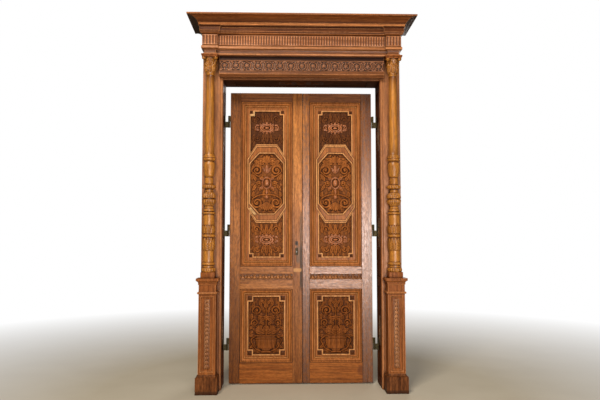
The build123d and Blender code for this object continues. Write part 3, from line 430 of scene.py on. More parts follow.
def painted_light_tones(node, *stops, then=None):
    """Painted light and shade up a board; each stop is a share of the board's height and a strength.

    The darker stops are warmer too, so green and blue fall faster than red.
    """
    low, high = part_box(node)
    warm = [(at, (strength, strength**1.18, strength**1.4)) for at, strength in stops]

    def wear_and_light(tree, where, colour):
        parts = tree.nodes.new("ShaderNodeSeparateXYZ")
        tree.links.new(where, parts.inputs[0])
        height = tree.nodes.new("ShaderNodeMapRange")
        height.inputs["From Min"].default_value = low.z
        height.inputs["From Max"].default_value = high.z
        tree.links.new(parts.outputs[2], height.inputs["Value"])
        colour = blend_colour(tree, "MULTIPLY", 1.0, colour, ramp(tree, height.outputs["Result"], *warm))
        return then(tree, where, colour) if then else colour

    return wear_and_light


MITRE_OFFSET = 0.682
CLEAN_TOP = 3


def dark_ends(tree, where, colour):
    """The returned ends of the cornice are black with old dust and smoke."""
    parts = tree.nodes.new("ShaderNodeSeparateXYZ")
    tree.links.new(where, parts.inputs[0])
    out = sums(tree, "ABSOLUTE", parts.outputs[0], 0.0)
    forward = sums(tree, "MULTIPLY", parts.outputs[1], -1.0)
    beyond = sums(tree, "SUBTRACT", sums(tree, "SUBTRACT", out, MITRE_OFFSET), forward)
    patchy = sums(tree, "ADD", beyond, sums(tree, "MULTIPLY", noise(tree, where, 70, 5, 0.7), 0.016))
    edge = tree.nodes.new("ShaderNodeMapRange")
    edge.inputs["From Min"].default_value = 0.006
    edge.inputs["From Max"].default_value = 0.014
    tree.links.new(patchy, edge.inputs["Value"])
    under_top = sums(tree, "LESS_THAN", parts.outputs[2], cad_box[1].z - CLEAN_TOP * MM)
    black = sums(tree, "MULTIPLY", sums(tree, "MULTIPLY", edge.outputs["Result"], under_top), 0.9)
    return blend_colour(tree, "MIX", black, colour, (0.030, 0.020, 0.012))


FRAME_PALE, FRAME_DEEP = (0.36, 0.111, 0.023), (0.18, 0.048, 0.008)
# A darker copy of the frame oak: painted shade on the architrave under the ledge and on the plinth near the
# floor.
FRAME_SHADE_PALE, FRAME_SHADE_DEEP = (0.27, 0.088, 0.024), (0.13, 0.038, 0.009)
LEAF_PALE, LEAF_DEEP = (0.52, 0.190, 0.042), (0.29, 0.090, 0.017)
RAIL_PALE, RAIL_DEEP = (0.41, 0.128, 0.022), (0.22, 0.058, 0.008)
# A darker copy of the leaf rail oak: painted shade on the top rails under the head.
TOP_RAIL_SHADE_PALE, TOP_RAIL_SHADE_DEEP = (0.33, 0.110, 0.028), (0.18, 0.052, 0.012)
PANEL_PALE, PANEL_DEEP = (0.47, 0.155, 0.030), (0.27, 0.078, 0.013)
JAMB_PALE, JAMB_DEEP = (0.51, 0.200, 0.066), (0.31, 0.104, 0.030)
COLUMN_PALE, COLUMN_DEEP = (0.62, 0.250, 0.036), (0.35, 0.118, 0.012)
# Very dark oak: painted shade on the reveals and the soffit, deep in the doorway.
REVEAL_SHADE_PALE, REVEAL_SHADE_DEEP = (0.150, 0.040, 0.008), (0.065, 0.017, 0.004)
CARVED_PALE, CARVED_DEEP = (0.50, 0.160, 0.032), (0.27, 0.076, 0.013)
# A darker copy of the carved oak: painted shade on the carved fields at the top of the leaves.
CREST_SHADE_PALE, CREST_SHADE_DEEP = (0.225, 0.070, 0.016), (0.11, 0.031, 0.007)
SPRAY_PALE, SPRAY_DEEP = (0.37, 0.110, 0.019), (0.19, 0.050, 0.008)
# Near-black ground of the carvings: old stain and painted shade in the hollows.
GROUND_STAIN_AND_SHADE = (0.034, 0.010, 0.003)
FILLET_PALE, FILLET_DEEP = (0.78, 0.360, 0.124), (0.54, 0.220, 0.064)

frame_upright = oak("oak_frame_upright", FRAME_PALE, FRAME_DEEP, "upright", (0.3, 0.1, 0.0))
frame_across = oak("oak_frame_across", FRAME_PALE, FRAME_DEEP, "across", (0.0, 0.4, 0.2), 0.42, shine=0.2)
# Painted light and shade on the ledge: pale for its lit lips and rounds, dark for its shaded fascia and cove.
LEDGE_LIGHT_AND_SHADE = [
    (0.0, 1.0), (0.19, 1.0), (0.21, 0.34), (0.42, 0.52), (0.66, 0.62), (0.68, 1.0), (0.80, 0.95), (1.0, 0.60),
]
ledge_oak = oak(
    "oak_ledge", (0.60, 0.235, 0.085), (0.32, 0.108, 0.032), "across", (0.2, 0.4, 0.6), 0.34,
    wear_and_light=painted_light_tones("frieze_ledge", *LEDGE_LIGHT_AND_SHADE), shine=0.3,
)
band_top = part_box("scroll_band")[1].z
architrave_foot, architrave_top = (corner.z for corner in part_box("architrave"))
over_band = (band_top - architrave_foot) / (architrave_top - architrave_foot)
# Painted shadow on the architrave over its band, under the ledge; it is a little darker at its foot as well.
ARCHITRAVE_SHADE = [(0.0, 0.8), (0.12, 1.0), (over_band - 0.01, 1.0), (over_band + 0.02, 0.28), (1.0, 0.08)]
architrave_oak = oak(
    "oak_architrave", FRAME_SHADE_PALE, FRAME_SHADE_DEEP, "across", (0.7, 0.4, 0.2), 0.40,
    wear_and_light=painted_light_tones("architrave", *ARCHITRAVE_SHADE), shine=0.2,
)
plinth_oak = oak(
    "oak_plinth", FRAME_SHADE_PALE, FRAME_SHADE_DEEP, "upright", (0.6, 0.1, 0.3), 0.5, wear_and_light=plinth_wear, shine=0.08
)
# Painted light and shade on the cornice: a pale lit lip, and painted shade on the bed moulding, under the lip
# and on the crown.
CORNICE_LIGHT_AND_SHADE = [
    (0.0, 0.36), (0.06, 0.30), (0.10, 0.13), (0.30, 0.17), (0.42, 0.09), (0.47, 0.03),
    (0.485, 0.98), (0.60, 1.0), (0.625, 0.14), (0.76, 0.31), (0.90, 0.38), (1.0, 0.30),
]
cornice_oak = oak(
    "oak_cornice", (0.95, 0.370, 0.120), (0.54, 0.180, 0.048), "across", (0.3, 0.4, 0.2),
    wear_and_light=painted_light_tones("cornice", *CORNICE_LIGHT_AND_SHADE, then=dark_ends),
)
# Painted light on the stiles: a painted sheen, lightest about mid height, and painted shade towards the top
# and the foot.
LEFT_HINGE_LIGHT = [
    (0.04, 0.38), (0.22, 0.52), (0.33, 0.70), (0.44, 0.9),
    (0.6, 0.98), (0.77, 0.8), (0.88, 0.62), (1.0, 0.48),
]
RIGHT_HINGE_LIGHT = [
    (0.04, 0.42), (0.22, 0.6), (0.33, 0.86), (0.44, 1.0),
    (0.66, 1.0), (0.77, 0.66), (0.88, 0.52), (1.0, 0.44),
]
LOCK_STILE_LIGHT = [
    (0.04, 0.42), (0.22, 0.6), (0.36, 0.6), (0.52, 0.66),
    (0.66, 0.98), (0.77, 1.0), (0.88, 0.86), (1.0, 0.58),
]
MEETING_STILE_LIGHT = [(0.04, 0.44), (0.22, 0.6), (0.33, 0.66), (0.44, 0.94), (0.77, 1.0), (1.0, 0.86)]
GOLD_PALE, GOLD_DEEP = (0.68, 0.262, 0.064), (0.40, 0.132, 0.027)
left_hinge_oak = oak(
    "oak_left_hinge_stile", LEAF_PALE, LEAF_DEEP, "upright", (1.9, 0.4, 0.3), 0.30,
    wear_and_light=painted_light_tones("left_hinge_stile", *LEFT_HINGE_LIGHT), shine=0.22, flecks=0.6,
)
right_hinge_oak = oak(
    "oak_right_hinge_stile", LEAF_PALE, LEAF_DEEP, "upright", (2.9, 0.4, 0.3), 0.26,
    wear_and_light=painted_light_tones("right_hinge_stile", *RIGHT_HINGE_LIGHT), shine=0.62, flecks=0.6,
)
lock_stile_oak = oak(
    "oak_lock_stile", GOLD_PALE, GOLD_DEEP, "upright", (0.2, 0.0, 0.3), 0.32,
    wear_and_light=painted_light_tones("left_meeting_stile", *LOCK_STILE_LIGHT, then=handle_marks), shine=0.16, flecks=0.5,
)
leaf_upright = oak(
    "oak_leaf_upright", LEAF_PALE, LEAF_DEEP, "upright", (0.7, 0.0, 0.3), 0.26,
    wear_and_light=painted_light_tones("right_meeting_stile", *MEETING_STILE_LIGHT), shine=0.45, flecks=0.7,
)
left_rail_oak = oak(
    "oak_left_lock_rail", LEAF_PALE, LEAF_DEEP, "across", (0.2, 0.0, 0.9), 0.34, shine=0.22, flecks=0.6
)
right_rail_oak = oak(
    "oak_right_lock_rail", LEAF_PALE, LEAF_DEEP, "across", (0.6, 0.0, 0.9), 0.26, shine=0.48, flecks=0.7
)
panel_oak = oak("oak_panel", PANEL_PALE, PANEL_DEEP, "upright", (0.4, 0.0, 0.8), 0.40, shine=0.2)
rail_oak = oak(
    "oak_leaf_rail", RAIL_PALE, RAIL_DEEP, "across", (0.9, 0.0, 0.4), 0.42, wear_and_light=kicked_corner, rings=0.6
)
top_rail_oak = oak("oak_top_rail", TOP_RAIL_SHADE_PALE, TOP_RAIL_SHADE_DEEP, "across", (0.5, 0.0, 0.1), 0.42, shine=0.2)
jamb_oak = oak("oak_jamb", JAMB_PALE, JAMB_DEEP, "upright", (0.1, 0.3, 0.5), 0.36, shine=0.3)
moulding_oak = oak("oak_moulding", (0.52, 0.172, 0.036), (0.30, 0.088, 0.016), "upright", (0.5, 0.0, 0.0))
# Paler beads, partly a painted highlight along them.
bead_oak = oak("oak_moulding_bead", (0.66, 0.275, 0.082), (0.45, 0.160, 0.042), "upright", (0.5, 0.2, 0.0))
cartouche_oak = oak(
    "oak_cartouche", (0.60, 0.210, 0.070), (0.36, 0.106, 0.029), "upright", (0.3, 0.1, 0.2), 0.30,
    (0.035, 0.009, 0.003), shine=0.35,
)
reveal_oak = oak("oak_reveal", REVEAL_SHADE_PALE, REVEAL_SHADE_DEEP, "upright", (0.0, 0.8, 0.0), 0.5, shine=0.06)
# Darker still: painted shade on the soffit under the head.
soffit_oak = oak(
    "oak_soffit", (0.085, 0.024, 0.006), (0.04, 0.011, 0.003), "across", (0.6, 0.8, 0.0), 0.5, shine=0.05
)
column_oak = oak(
    "oak_column", COLUMN_PALE, COLUMN_DEEP, "upright", (0.4, 0.2, 0.0), 0.34, (0.12, 0.034, 0.003), shine=0.45
)
carved_oak = oak("oak_carved", CARVED_PALE, CARVED_DEEP, "upright", (0.9, 0.1, 0.0), 0.5, GROUND_STAIN_AND_SHADE, shine=0.08)
crest_oak = oak("oak_crest", CREST_SHADE_PALE, CREST_SHADE_DEEP, "upright", (0.7, 0.1, 0.2), 0.5, GROUND_STAIN_AND_SHADE, shine=0.08)
spray_oak = oak("oak_spray", SPRAY_PALE, SPRAY_DEEP, "upright", (0.5, 0.1, 0.4), 0.5, GROUND_STAIN_AND_SHADE, shine=0.08)
band_oak = oak(
    "oak_band", (0.58, 0.245, 0.110), (0.33, 0.116, 0.043), "across", (0.0, 0.1, 0.6), 0.34,
    (0.016, 0.005, 0.002), shine=0.3,
)
# Paler husks, partly a painted highlight for their glints.
drop_oak = oak(
    "oak_drop", (0.74, 0.35, 0.15), FRAME_PALE, "upright", (0.2, 0.1, 0.6), 0.30,
    (0.07, 0.020, 0.006), shine=0.3,
)
# Paler oak for the raised fillets, partly a painted highlight along them.
fillet_oak = oak("oak_fillet", FILLET_PALE, FILLET_DEEP, "upright", (0.3, 0.0, 0.6), 0.4)
# Near-black oak for the grooves of the mouldings and for the joint between the leaves: painted shade, with
# dirt in the grooves.
groove_oak = oak("oak_groove", (0.085, 0.026, 0.007), (0.04, 0.012, 0.003), "upright", (0.6, 0.0, 0.2))
rubbed_and_highlit_edge_oak = oak("oak_rubbed_and_highlit_edge", (0.66, 0.28, 0.098), (0.46, 0.175, 0.055), "upright", (0.8, 0.3, 0.2), 0.36)
corner_oak = oak("oak_corner_block", (0.14, 0.042, 0.010), (0.06, 0.017, 0.004), "upright", (0.1, 0.0, 0.1))
print("oak finishes:", len([m for m in bpy.data.materials if m.name.startswith("oak")]))

# %% [markdown]
# ## Brass and steel
# The hinge knuckles are old brass gone green and brown, and the lock is grey steel with rust in its pits.
# A metal with patches of tarnish needs two colours and two roughnesses, mixed by one patchy noise.

# %% mix the metals
PATCH_SCALE = 160
SCRATCH_SCALE = 900


def aged_metal(name, bright, tarnish, metallic, smooth, rough):
    finish = bpy.data.materials.new(name)
    finish.use_nodes = True
    tree = finish.node_tree
    shader = tree.nodes["Principled BSDF"]
    shader.inputs["Metallic"].default_value = metallic
    where = tree.nodes.new("ShaderNodeTexCoord").outputs["Object"]
    patches = noise(tree, where, PATCH_SCALE, 6, 0.65)
    scratches = noise(tree, where, SCRATCH_SCALE, 2)
    tree.links.new(ramp(tree, patches, (0.38, tarnish), (0.62, bright)), shader.inputs["Base Color"])
    spread = tree.nodes.new("ShaderNodeMapRange")
    spread.inputs["From Min"].default_value = 0.35
    spread.inputs["From Max"].default_value = 0.65
    spread.inputs["To Min"].default_value = rough
    spread.inputs["To Max"].default_value = smooth
    tree.links.new(patches, spread.inputs["Value"])
    tree.links.new(spread.outputs["Result"], shader.inputs["Roughness"])
    bump = tree.nodes.new("ShaderNodeBump")
    bump.inputs["Strength"].default_value = 0.25
    bump.inputs["Distance"].default_value = 0.2 * MM
    tree.links.new(sums(tree, "ADD", patches, scratches), bump.inputs["Height"])
    tree.links.new(bump.outputs["Normal"], shader.inputs["Normal"])
    return finish


brass = aged_metal("aged_brass", (0.11, 0.082, 0.034), (0.032, 0.028, 0.016), 0.8, 0.42, 0.7)
steel = aged_metal("lock_steel", (0.34, 0.33, 0.31), (0.12, 0.09, 0.07), 0.9, 0.35, 0.65)
grimy_brass = aged_metal("grimy_brass", (0.085, 0.058, 0.026), (0.026, 0.018, 0.010), 0.6, 0.5, 0.75)
print("metals:", brass.name, steel.name, grimy_brass.name)

# %% [markdown]
# ## The carver's tools
# Carving in low relief is a ground cut back with ornament left standing: scrolls, leaves, ovals and stems.
# It could be sculpted stroke by stroke, but every motif here is a height over a flat field,
# so a fine grid is raised by a few formulas, one for each tool cut,
# and the highest cut at each point is kept.

# %% make a field to carve
SCROLL_EYE = 0.22


class Relief:
    """A flat field of points, u across and v up in mm, with a carved height h at each."""

    def __init__(self, across, up):
        self.u, self.v = np.meshgrid(across, up)
        self.h = np.zeros_like(self.u)

    def keep(self, shape):
        self.h = np.maximum(self.h, shape)

    def local(self, x, z, turn):
        """Coordinates along and across a motif that starts at x, z and runs at an angle."""
        c, s = math.cos(math.radians(turn)), math.sin(math.radians(turn))
        du, dv = self.u - x, self.v - z
        return c * du + s * dv, -s * du + c * dv

    def both(self, tool, x, z, *sizes, turn=90, **more):
        """One motif and its mirror image across the middle line."""
        getattr(self, tool)(x, z, *sizes, turn=turn, **more)
        getattr(self, tool)(-x, z, *sizes, turn=180 - turn, flip=-1, **more)

    def leaf(self, x, z, length, width, height, turn=90, lobes=3, bend=0.0, flip=1):
        """A lobed leaf from its foot at x, z, hollowed along the middle."""
        s, t = self.local(x, z, turn)
        s = s / length
        inside = (s > 0) & (s < 1)
        s = np.clip(s, 1e-4, 1 - 1e-4)
        t = t - flip * bend * length * s**2
        edge = width / 2 * np.sin(np.pi * s**0.7) ** 0.75 * (0.80 + 0.20 * np.abs(np.cos(np.pi * lobes * s)))
        w = np.clip(t / np.maximum(edge, 0.2), -1.2, 1.2)
        arch = np.sqrt(np.clip(1 - w**2, 0, 1)) ** 0.7
        rib = 1 - 0.50 * np.exp(-((t / (0.10 * width + 0.4)) ** 2))
        vein = 1 - 0.40 * np.abs(np.sin(np.pi * (lobes * s - 0.9 * np.abs(w)))) ** 5
        swell = 0.62 + 0.38 * np.sin(np.pi * np.clip(s * 0.9 + 0.1, 0, 1))
        self.keep(height * arch * rib * vein * swell * inside)

    def scroll(self, x, z, radius, width, height, turn=90, laps=1.25, sense=1, flip=1):
        """A ridge that winds in to an eye, from its open end at an angle."""
        du, dv = self.u - x, self.v - z
        reach = np.hypot(du, dv)
        angle = (sense * flip * (np.arctan2(dv, du) - math.radians(turn))) % TAU
        for lap in range(int(math.ceil(laps))):
            way = (angle + TAU * lap) / (TAU * laps)
            path = radius * (1 - (1 - SCROLL_EYE) * way**0.9)
            half = width / 2 * (1 - 0.42 * way) * np.clip(way * 7 + 0.3, 0, 1)
            off = (reach - path) / np.maximum(half, 0.3)
            round_top = np.sqrt(np.clip(1 - off**2, 0, 1))
            groove = 1 - 0.25 * np.exp(-((off + 0.15) ** 2) / 0.06)
            self.keep(height * (0.8 + 0.2 * way) * round_top * groove * (way <= 1))
        self.oval(x, z, width * 0.62, width * 0.62, height * 1.08)

    def oval(self, x, z, half_width, half_height, height):
        d = ((self.u - x) / half_width) ** 2 + ((self.v - z) / half_height) ** 2
        self.keep(height * np.sqrt(np.clip(1 - d, 0, 1)))

    def ring(self, x, z, half_width, half_height, width, height):
        r = np.hypot((self.u - x) / half_width, (self.v - z) / half_height)
        off = (r - 1) * min(half_width, half_height) / (width / 2)
        self.keep(height * np.sqrt(np.clip(1 - off**2, 0, 1)))

    def arc(self, x, z, radius, width, height, start, end):
        """Part of a ring, from one angle on to another, with round ends."""
        du, dv = self.u - x, self.v - z
        inside = (np.degrees(np.arctan2(dv, du)) - start) % 360 <= end - start
        off = (np.hypot(du, dv) - radius) / (width / 2)
        self.keep(height * np.sqrt(np.clip(1 - off**2, 0, 1)) * inside)
        for angle in (math.radians(start), math.radians(end)):
            tip_x, tip_z = x + radius * math.cos(angle), z + radius * math.sin(angle)
            self.oval(tip_x, tip_z, width * 0.7, width * 0.7, height)

    def bar(self, z, width, height):
        """A bead along the whole field."""
        self.keep(height * np.sqrt(np.clip(1 - ((self.v - z) / (width / 2)) ** 2, 0, 1)))

    def stem(self, start, middle, end, width, height, thin=0.5):
        """A round stalk along a curve through three control points, thinner at its end."""
        steps = np.linspace(0, 1, 15)
        a, b, c = (np.array(p, float) for p in (start, middle, end))
        line = [(1 - t) ** 2 * a + 2 * t * (1 - t) * b + t**2 * c for t in steps]
        for i in range(len(line) - 1):
            p, d = line[i], line[i + 1] - line[i]
            q = np.clip(((self.u - p[0]) * d[0] + (self.v - p[1]) * d[1]) / (d @ d), 0, 1)
            away = np.hypot(self.u - p[0] - q * d[0], self.v - p[1] - q * d[1])
            half = width / 2 * (1 - thin * (i + q) / len(steps))
            self.keep(height * np.sqrt(np.clip(1 - (away / half) ** 2, 0, 1)))

    def stems(self, start, middle, end, width, height, thin=0.5):
        self.stem(start, middle, end, width, height, thin)
        self.stem(*[(-x, z) for x, z in (start, middle, end)], width, height, thin)

    def fan(self, x, z, radius, spread, ribs, height, turn=90, flip=1):
        """A shell of ribs that spread from x, z; it is its own mirror image, so flip changes nothing."""
        s, t = self.local(x, z, turn)
        angle = np.arctan2(t, s) / math.radians(spread / 2)
        r = np.hypot(s, t) / radius
        scallop = 0.86 + 0.14 * np.abs(np.cos(angle * ribs * np.pi / 2))
        rib = 0.55 + 0.45 * np.abs(np.cos(angle * ribs * np.pi / 2)) ** 0.6
        inside = (np.abs(angle) < 1) & (r < scallop)
        self.keep(height * rib * (0.45 + 0.55 * r) * inside)

    def flower(self, x, z, radius, petals, height, turn=90):
        """A round flower: petals about a domed eye."""
        du, dv = self.u - x, self.v - z
        r = np.hypot(du, dv) / radius
        petal = np.abs(np.cos(petals / 2 * (np.arctan2(dv, du) - math.radians(turn)))) ** 0.5
        reach = 0.66 + 0.34 * petal
        dish = np.clip(1 - (r / reach) ** 4, 0, 1) ** 0.5 * (0.45 + 0.45 * np.clip(r, 0, 1))
        self.keep(height * (dish * (0.6 + 0.4 * petal)))
        self.oval(x, z, radius * 0.34, radius * 0.34, height)

    def body(self, levels, half_widths, height, flutes=0):
        """A turned body seen from the front, such as a vase, with flutes round it."""
        edge = np.interp(self.v, levels, half_widths, left=0, right=0)
        w = np.clip(self.u / np.maximum(edge, 0.1), -1, 1)
        dome = np.sqrt(np.clip(1 - w**2, 0, 1)) ** 0.6 * (np.abs(self.u) < edge)
        if flutes:
            dome = dome * (0.78 + 0.22 * np.abs(np.sin(flutes / 2 * np.arcsin(w))) ** 0.5)
        self.keep(height * dome)

    def undergrowth(self, pitch, length, width, height, centre=0, spin=35):
        """Low leaves in rows all over the ground, turned away from the middle."""
        top = np.abs(self.v - centre).max()
        for row, z in enumerate(np.arange(centre - top, centre + top, pitch * 0.8)):
            for x in np.arange(pitch * (0.25 if row % 2 else 0.75), self.u.max(), pitch):
                turn = math.degrees(math.atan2(z - centre, x)) + (spin if row % 2 else -spin)
                self.both("leaf", x, z, length, width, height, turn=turn, lobes=2, bend=0.2)

    def matting(self, depth):
        """Small punch marks over the ground."""
        marks = np.sin(self.u * 1.31 + 2 * np.sin(self.v * 0.37))
        marks = marks * np.sin(self.v * 1.27 + 2 * np.sin(self.u * 0.41))
        self.h = self.h + depth * marks * np.exp(-self.h / 1.5)


def evenly(length, step):
    """Places along a length, centred on zero, about a step apart."""
    return np.linspace(-length / 2, length / 2, int(round(length / step)) + 1)


def blurred(values, reach):
    """The mean of the points around each point."""
    padded = np.pad(values, reach, mode="edge")
    total = padded.cumsum(0).cumsum(1)
    total = np.pad(total, ((1, 0), (1, 0)))
    side = 2 * reach + 1
    window = total[side:, side:] - total[:-side, side:] - total[side:, :-side] + total[:-side, :-side]
    return window / side**2


def inside_outline(u, v, outline):
    """True at the points that lie inside a closed outline."""
    within = np.zeros(u.shape, bool)
    for (x0, z0), (x1, z1) in zip(outline, outline[1:] + outline[:1]):
        if z0 != z1:
            crosses = (v < z0) != (v < z1)
            within ^= crosses & (u < x0 + (v - z0) * (x1 - x0) / (z1 - z0))
    return within


print("carving tools:", [n for n in dir(Relief) if not n.startswith("_")])

# %% [markdown]
# ## From heights to a carved piece
# Each field becomes a grid primitive whose points are moved to their carved places,
# and its rim is drawn back to one point behind, so that the carving is a closed piece that sits in its board.
# How hollow each point lies is kept as an attribute; the finish darkens the hollow places with it, for the
# dirt and old stain that gather there and as painted shade.

# %% turn a field into a piece
TUCK = 3.0
BACK_GAP = 2


def hollowness(h, relief_height, reach=4, stain=0.30):
    """0 on the high places and 1 deep in the ground, for stain and painted shade; a greater stain darkens
    more of the low leaves.
    """
    low = np.exp(-np.clip(h, 0, None) / (stain * relief_height))
    groove = np.clip((blurred(h, 1) - h) / (0.10 * relief_height), -0.5, 1)
    dip = np.clip((blurred(h, reach) - h) / (0.32 * relief_height), -0.6, 1)
    return np.clip(0.55 * low + 0.35 * groove + 0.55 * dip, 0, 1)


def carved_piece(name, points, hollow, back, finish, closed_round=False, keep=None):
    """A grid with its points at given places, closed behind at one point or, wrapped round, at its ends."""
    rows, columns = hollow.shape
    bpy.ops.object.select_all(action="DESELECT")
    bpy.ops.mesh.primitive_grid_add(x_subdivisions=columns - 1, y_subdivisions=rows - 1, size=2)
    piece = bpy.context.object
    piece.name = name
    mesh = piece.data
    flat = np.zeros(len(mesh.vertices) * 3)
    mesh.vertices.foreach_get("co", flat)
    flat = flat.reshape(-1, 3)
    column = np.rint((flat[:, 0] + 1) / 2 * (columns - 1)).astype(int)
    row = np.rint((flat[:, 1] + 1) / 2 * (rows - 1)).astype(int)
    placed = points[row, column] * MM
    mesh.vertices.foreach_set("co", placed.ravel())
    layer = mesh.attributes.new("hollow", "FLOAT", "POINT")
    layer.data.foreach_set("value", hollow[row, column].astype(np.float32))
    mesh.update()
    bpy.ops.object.mode_set(mode="EDIT")
    if keep is not None:
        bpy.ops.mesh.select_mode(type="VERT")
        bpy.ops.mesh.select_all(action="DESELECT")
        bpy.ops.object.mode_set(mode="OBJECT")
        mesh.vertices.foreach_set("select", ~keep[row, column])
        bpy.ops.object.mode_set(mode="EDIT")
        bpy.ops.mesh.delete(type="VERT")
    if closed_round:
        bpy.ops.mesh.select_all(action="SELECT")
        bpy.ops.mesh.remove_doubles(threshold=0.02 * MM)
    bpy.ops.mesh.select_mode(type="EDGE")
    bpy.ops.mesh.select_all(action="DESELECT")
    bpy.ops.mesh.select_non_manifold(extend=False, use_wire=False, use_multi_face=False, use_verts=False)
    if closed_round:
        bpy.ops.mesh.fill_holes(sides=0)
    else:
        bpy.ops.mesh.extrude_region_move()
        bpy.ops.mesh.merge(type="CENTER")
    bpy.ops.object.mode_set(mode="OBJECT")
    if not closed_round:
        mesh.vertices[len(mesh.vertices) - 1].co = Vector(back) * MM
    bpy.ops.object.mode_set(mode="EDIT")
    bpy.ops.mesh.select_all(action="SELECT")
    bpy.ops.mesh.normals_make_consistent(inside=False)
    bpy.ops.object.mode_set(mode="OBJECT")
    bpy.ops.object.shade_smooth()
    mesh.materials.append(finish)
    return piece


def front_points(relief, x, y, z, outline=None, rim=TUCK):
    """Places of a field that faces the viewer; outside its outline it is tucked behind."""
    h = relief.h.copy()
    if outline is not None:
        h[~inside_outline(relief.u, relief.v, outline)] = -rim
    h[[0, -1], :] = -rim
    h[:, [0, -1]] = -rim
    return np.stack([x + relief.u, y - h, z + relief.v], axis=-1)


print("fields are closed", TUCK, "mm behind their ground")

# %% [markdown]
# ## Oak on the joinery
# Stiles, posts and columns have their grain upright and rails have it across, as a joiner cuts them.
# Each loaded board keeps its shape and is given the finish that its place calls for.

# %% put oak on the boards
FINISHES = {
    frame_upright: ["pedestal", "pedestal_cap", "side_board"],
    jamb_oak: ["jamb"],
    plinth_oak: ["plinth"],
    top_rail_oak: ["top_rail"],
    rail_oak: ["bottom_rail"],
    reveal_oak: ["reveal_frame"],
    brass: ["hinge_flaps", "hinge_straps"],
}
SINGLE_FINISHES = {
    ledge_oak: ["frieze_ledge"],
    left_hinge_oak: ["left_hinge_stile"],
    right_hinge_oak: ["right_hinge_stile"],
    left_rail_oak: ["left_lock_rail"],
    right_rail_oak: ["right_lock_rail"],
    architrave_oak: ["architrave"],
    cornice_oak: ["cornice"],
    lock_stile_oak: ["left_meeting_stile"],
    leaf_upright: ["right_meeting_stile"],
    soffit_oak: ["soffit_frame"],
    steel: ["lock_case", "latch_bolt", "dead_bolt", "strike_plate"],
    grimy_brass: ["escutcheon"],
}
SIDES = {"left": -1, "right": 1}


def dress(node, finish):
    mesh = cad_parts[node].data
    mesh.materials.clear()
    mesh.materials.append(finish)


for finish, names in FINISHES.items():
    for name in names:
        for side in SIDES:
            dress(f"{side}_{name}", finish)
for finish, names in SINGLE_FINISHES.items():
    for name in names:
        dress(name, finish)
EASED = {
    2.2: ["hinge_stile", "meeting_stile", "top_rail", "lock_rail", "bottom_rail"],
    2.0: ["plinth", "pedestal", "pedestal_cap", "jamb", "side_board"],
    0.8: ["hinge_flaps", "hinge_straps"],
}
EASED_SINGLE = ["architrave", "frieze_ledge", "cornice"]
SINGLE_EASE = 2.0


def ease_edges(node, width, edge=None):
    """Round a board's edges a little, in a paler finish that stands for the rubbing of hands and dusters and
    for a painted highlight along the edges.
    """
    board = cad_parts[node]
    weld = board.modifiers.new("weld", "WELD")
    weld.merge_threshold = 0.01 * MM
    ease = board.modifiers.new("ease", "BEVEL")
    ease.width = width * MM
    ease.segments = 2
    ease.limit_method = "ANGLE"
    ease.angle_limit = math.radians(38)
    if edge is not None:
        board.data.materials.append(edge)
        ease.material = 1


for width, names in EASED.items():
    for name in names:
        for side in SIDES:
            ease_edges(f"{side}_{name}", width, rubbed_and_highlit_edge_oak if name in FINISHES[frame_upright] else None)
for name in EASED_SINGLE:
    ease_edges(name, SINGLE_EASE, rubbed_and_highlit_edge_oak)
print("boards with a finish:", 2 * sum(map(len, FINISHES.values())) + sum(map(len, SINGLE_FINISHES.values())))

# %% [markdown]
# ## Boards with sunk fields
# A carved panel starts as a flat board with its fields cut back and a narrow fillet left standing round each.
# Plates cut out by a boolean keep the crisp mitres that a chisel leaves,
# so one function makes both the plates and their cutters.

# %% outlines of the sunk fields
FIELD_HALF_WIDTH = 138
FIELD_SINK = 7
CORNER_NOTCH = 30
CORNER_BLOCK = 24
CORNER_RISE = 6
CORNER_DEPTH = 4
CORNER_EDGE = 2.5
CORNER_LIFT = 1
FILLET_WIDTH = 10
FILLET_RISE = 5
FILLET_EDGE = 1.4
MOULDING_WIDTH = 54
UPPER_MARGIN = 30
LOWER_MARGIN = 13
LOWER_HALF_WIDTH = 148
LOWER_NOTCH = 40
LOWER_BLOCK = 36
OCTAGON = {"half_width": 163, "half_height": 320, "flat_half": 88, "shoulder": 114}
OCTAGON_INNER = {"half_width": 139, "half_height": 254, "flat_half": 62, "shoulder": 86}
OCTAGON_GAP = 14


def mirrored(right):
    """A closed outline from its right half, listed from top to bottom."""
    return right + [(-x, z) for x, z in right[::-1]]


def octagon(half_width, half_height, flat_half, shoulder):
    top = [(flat_half, half_height), (half_width, half_height - shoulder)]
    return mirrored(top + [(x, -z) for x, z in top[::-1]])


def end_field(top, grow):
    """The field above the octagon, notched at its upper corners."""
    side = FIELD_HALF_WIDTH + grow
    notch_x = side - CORNER_NOTCH
    notch_z = top + grow - CORNER_NOTCH
    flat_z = OCTAGON["half_height"] + OCTAGON_GAP - grow
    slope = OCTAGON["shoulder"] / (OCTAGON["half_width"] - OCTAGON["flat_half"])
    side_z = flat_z - slope * (side - OCTAGON["flat_half"])
    lower = [(side, side_z), (OCTAGON["flat_half"], flat_z)]
    return mirrored([(notch_x, top + grow), (notch_x, notch_z), (side, notch_z)] + lower)


def notched_field(top, grow):
    side = LOWER_HALF_WIDTH + grow
    notch = [(side - LOWER_NOTCH, top + grow), (side - LOWER_NOTCH, top + grow - LOWER_NOTCH)]
    quarter = notch + [(side, top + grow - LOWER_NOTCH)]
    return mirrored(quarter + [(x, -z) for x, z in quarter[::-1]])


def upside_down(outline):
    return [(x, -z) for x, z in outline[::-1]]


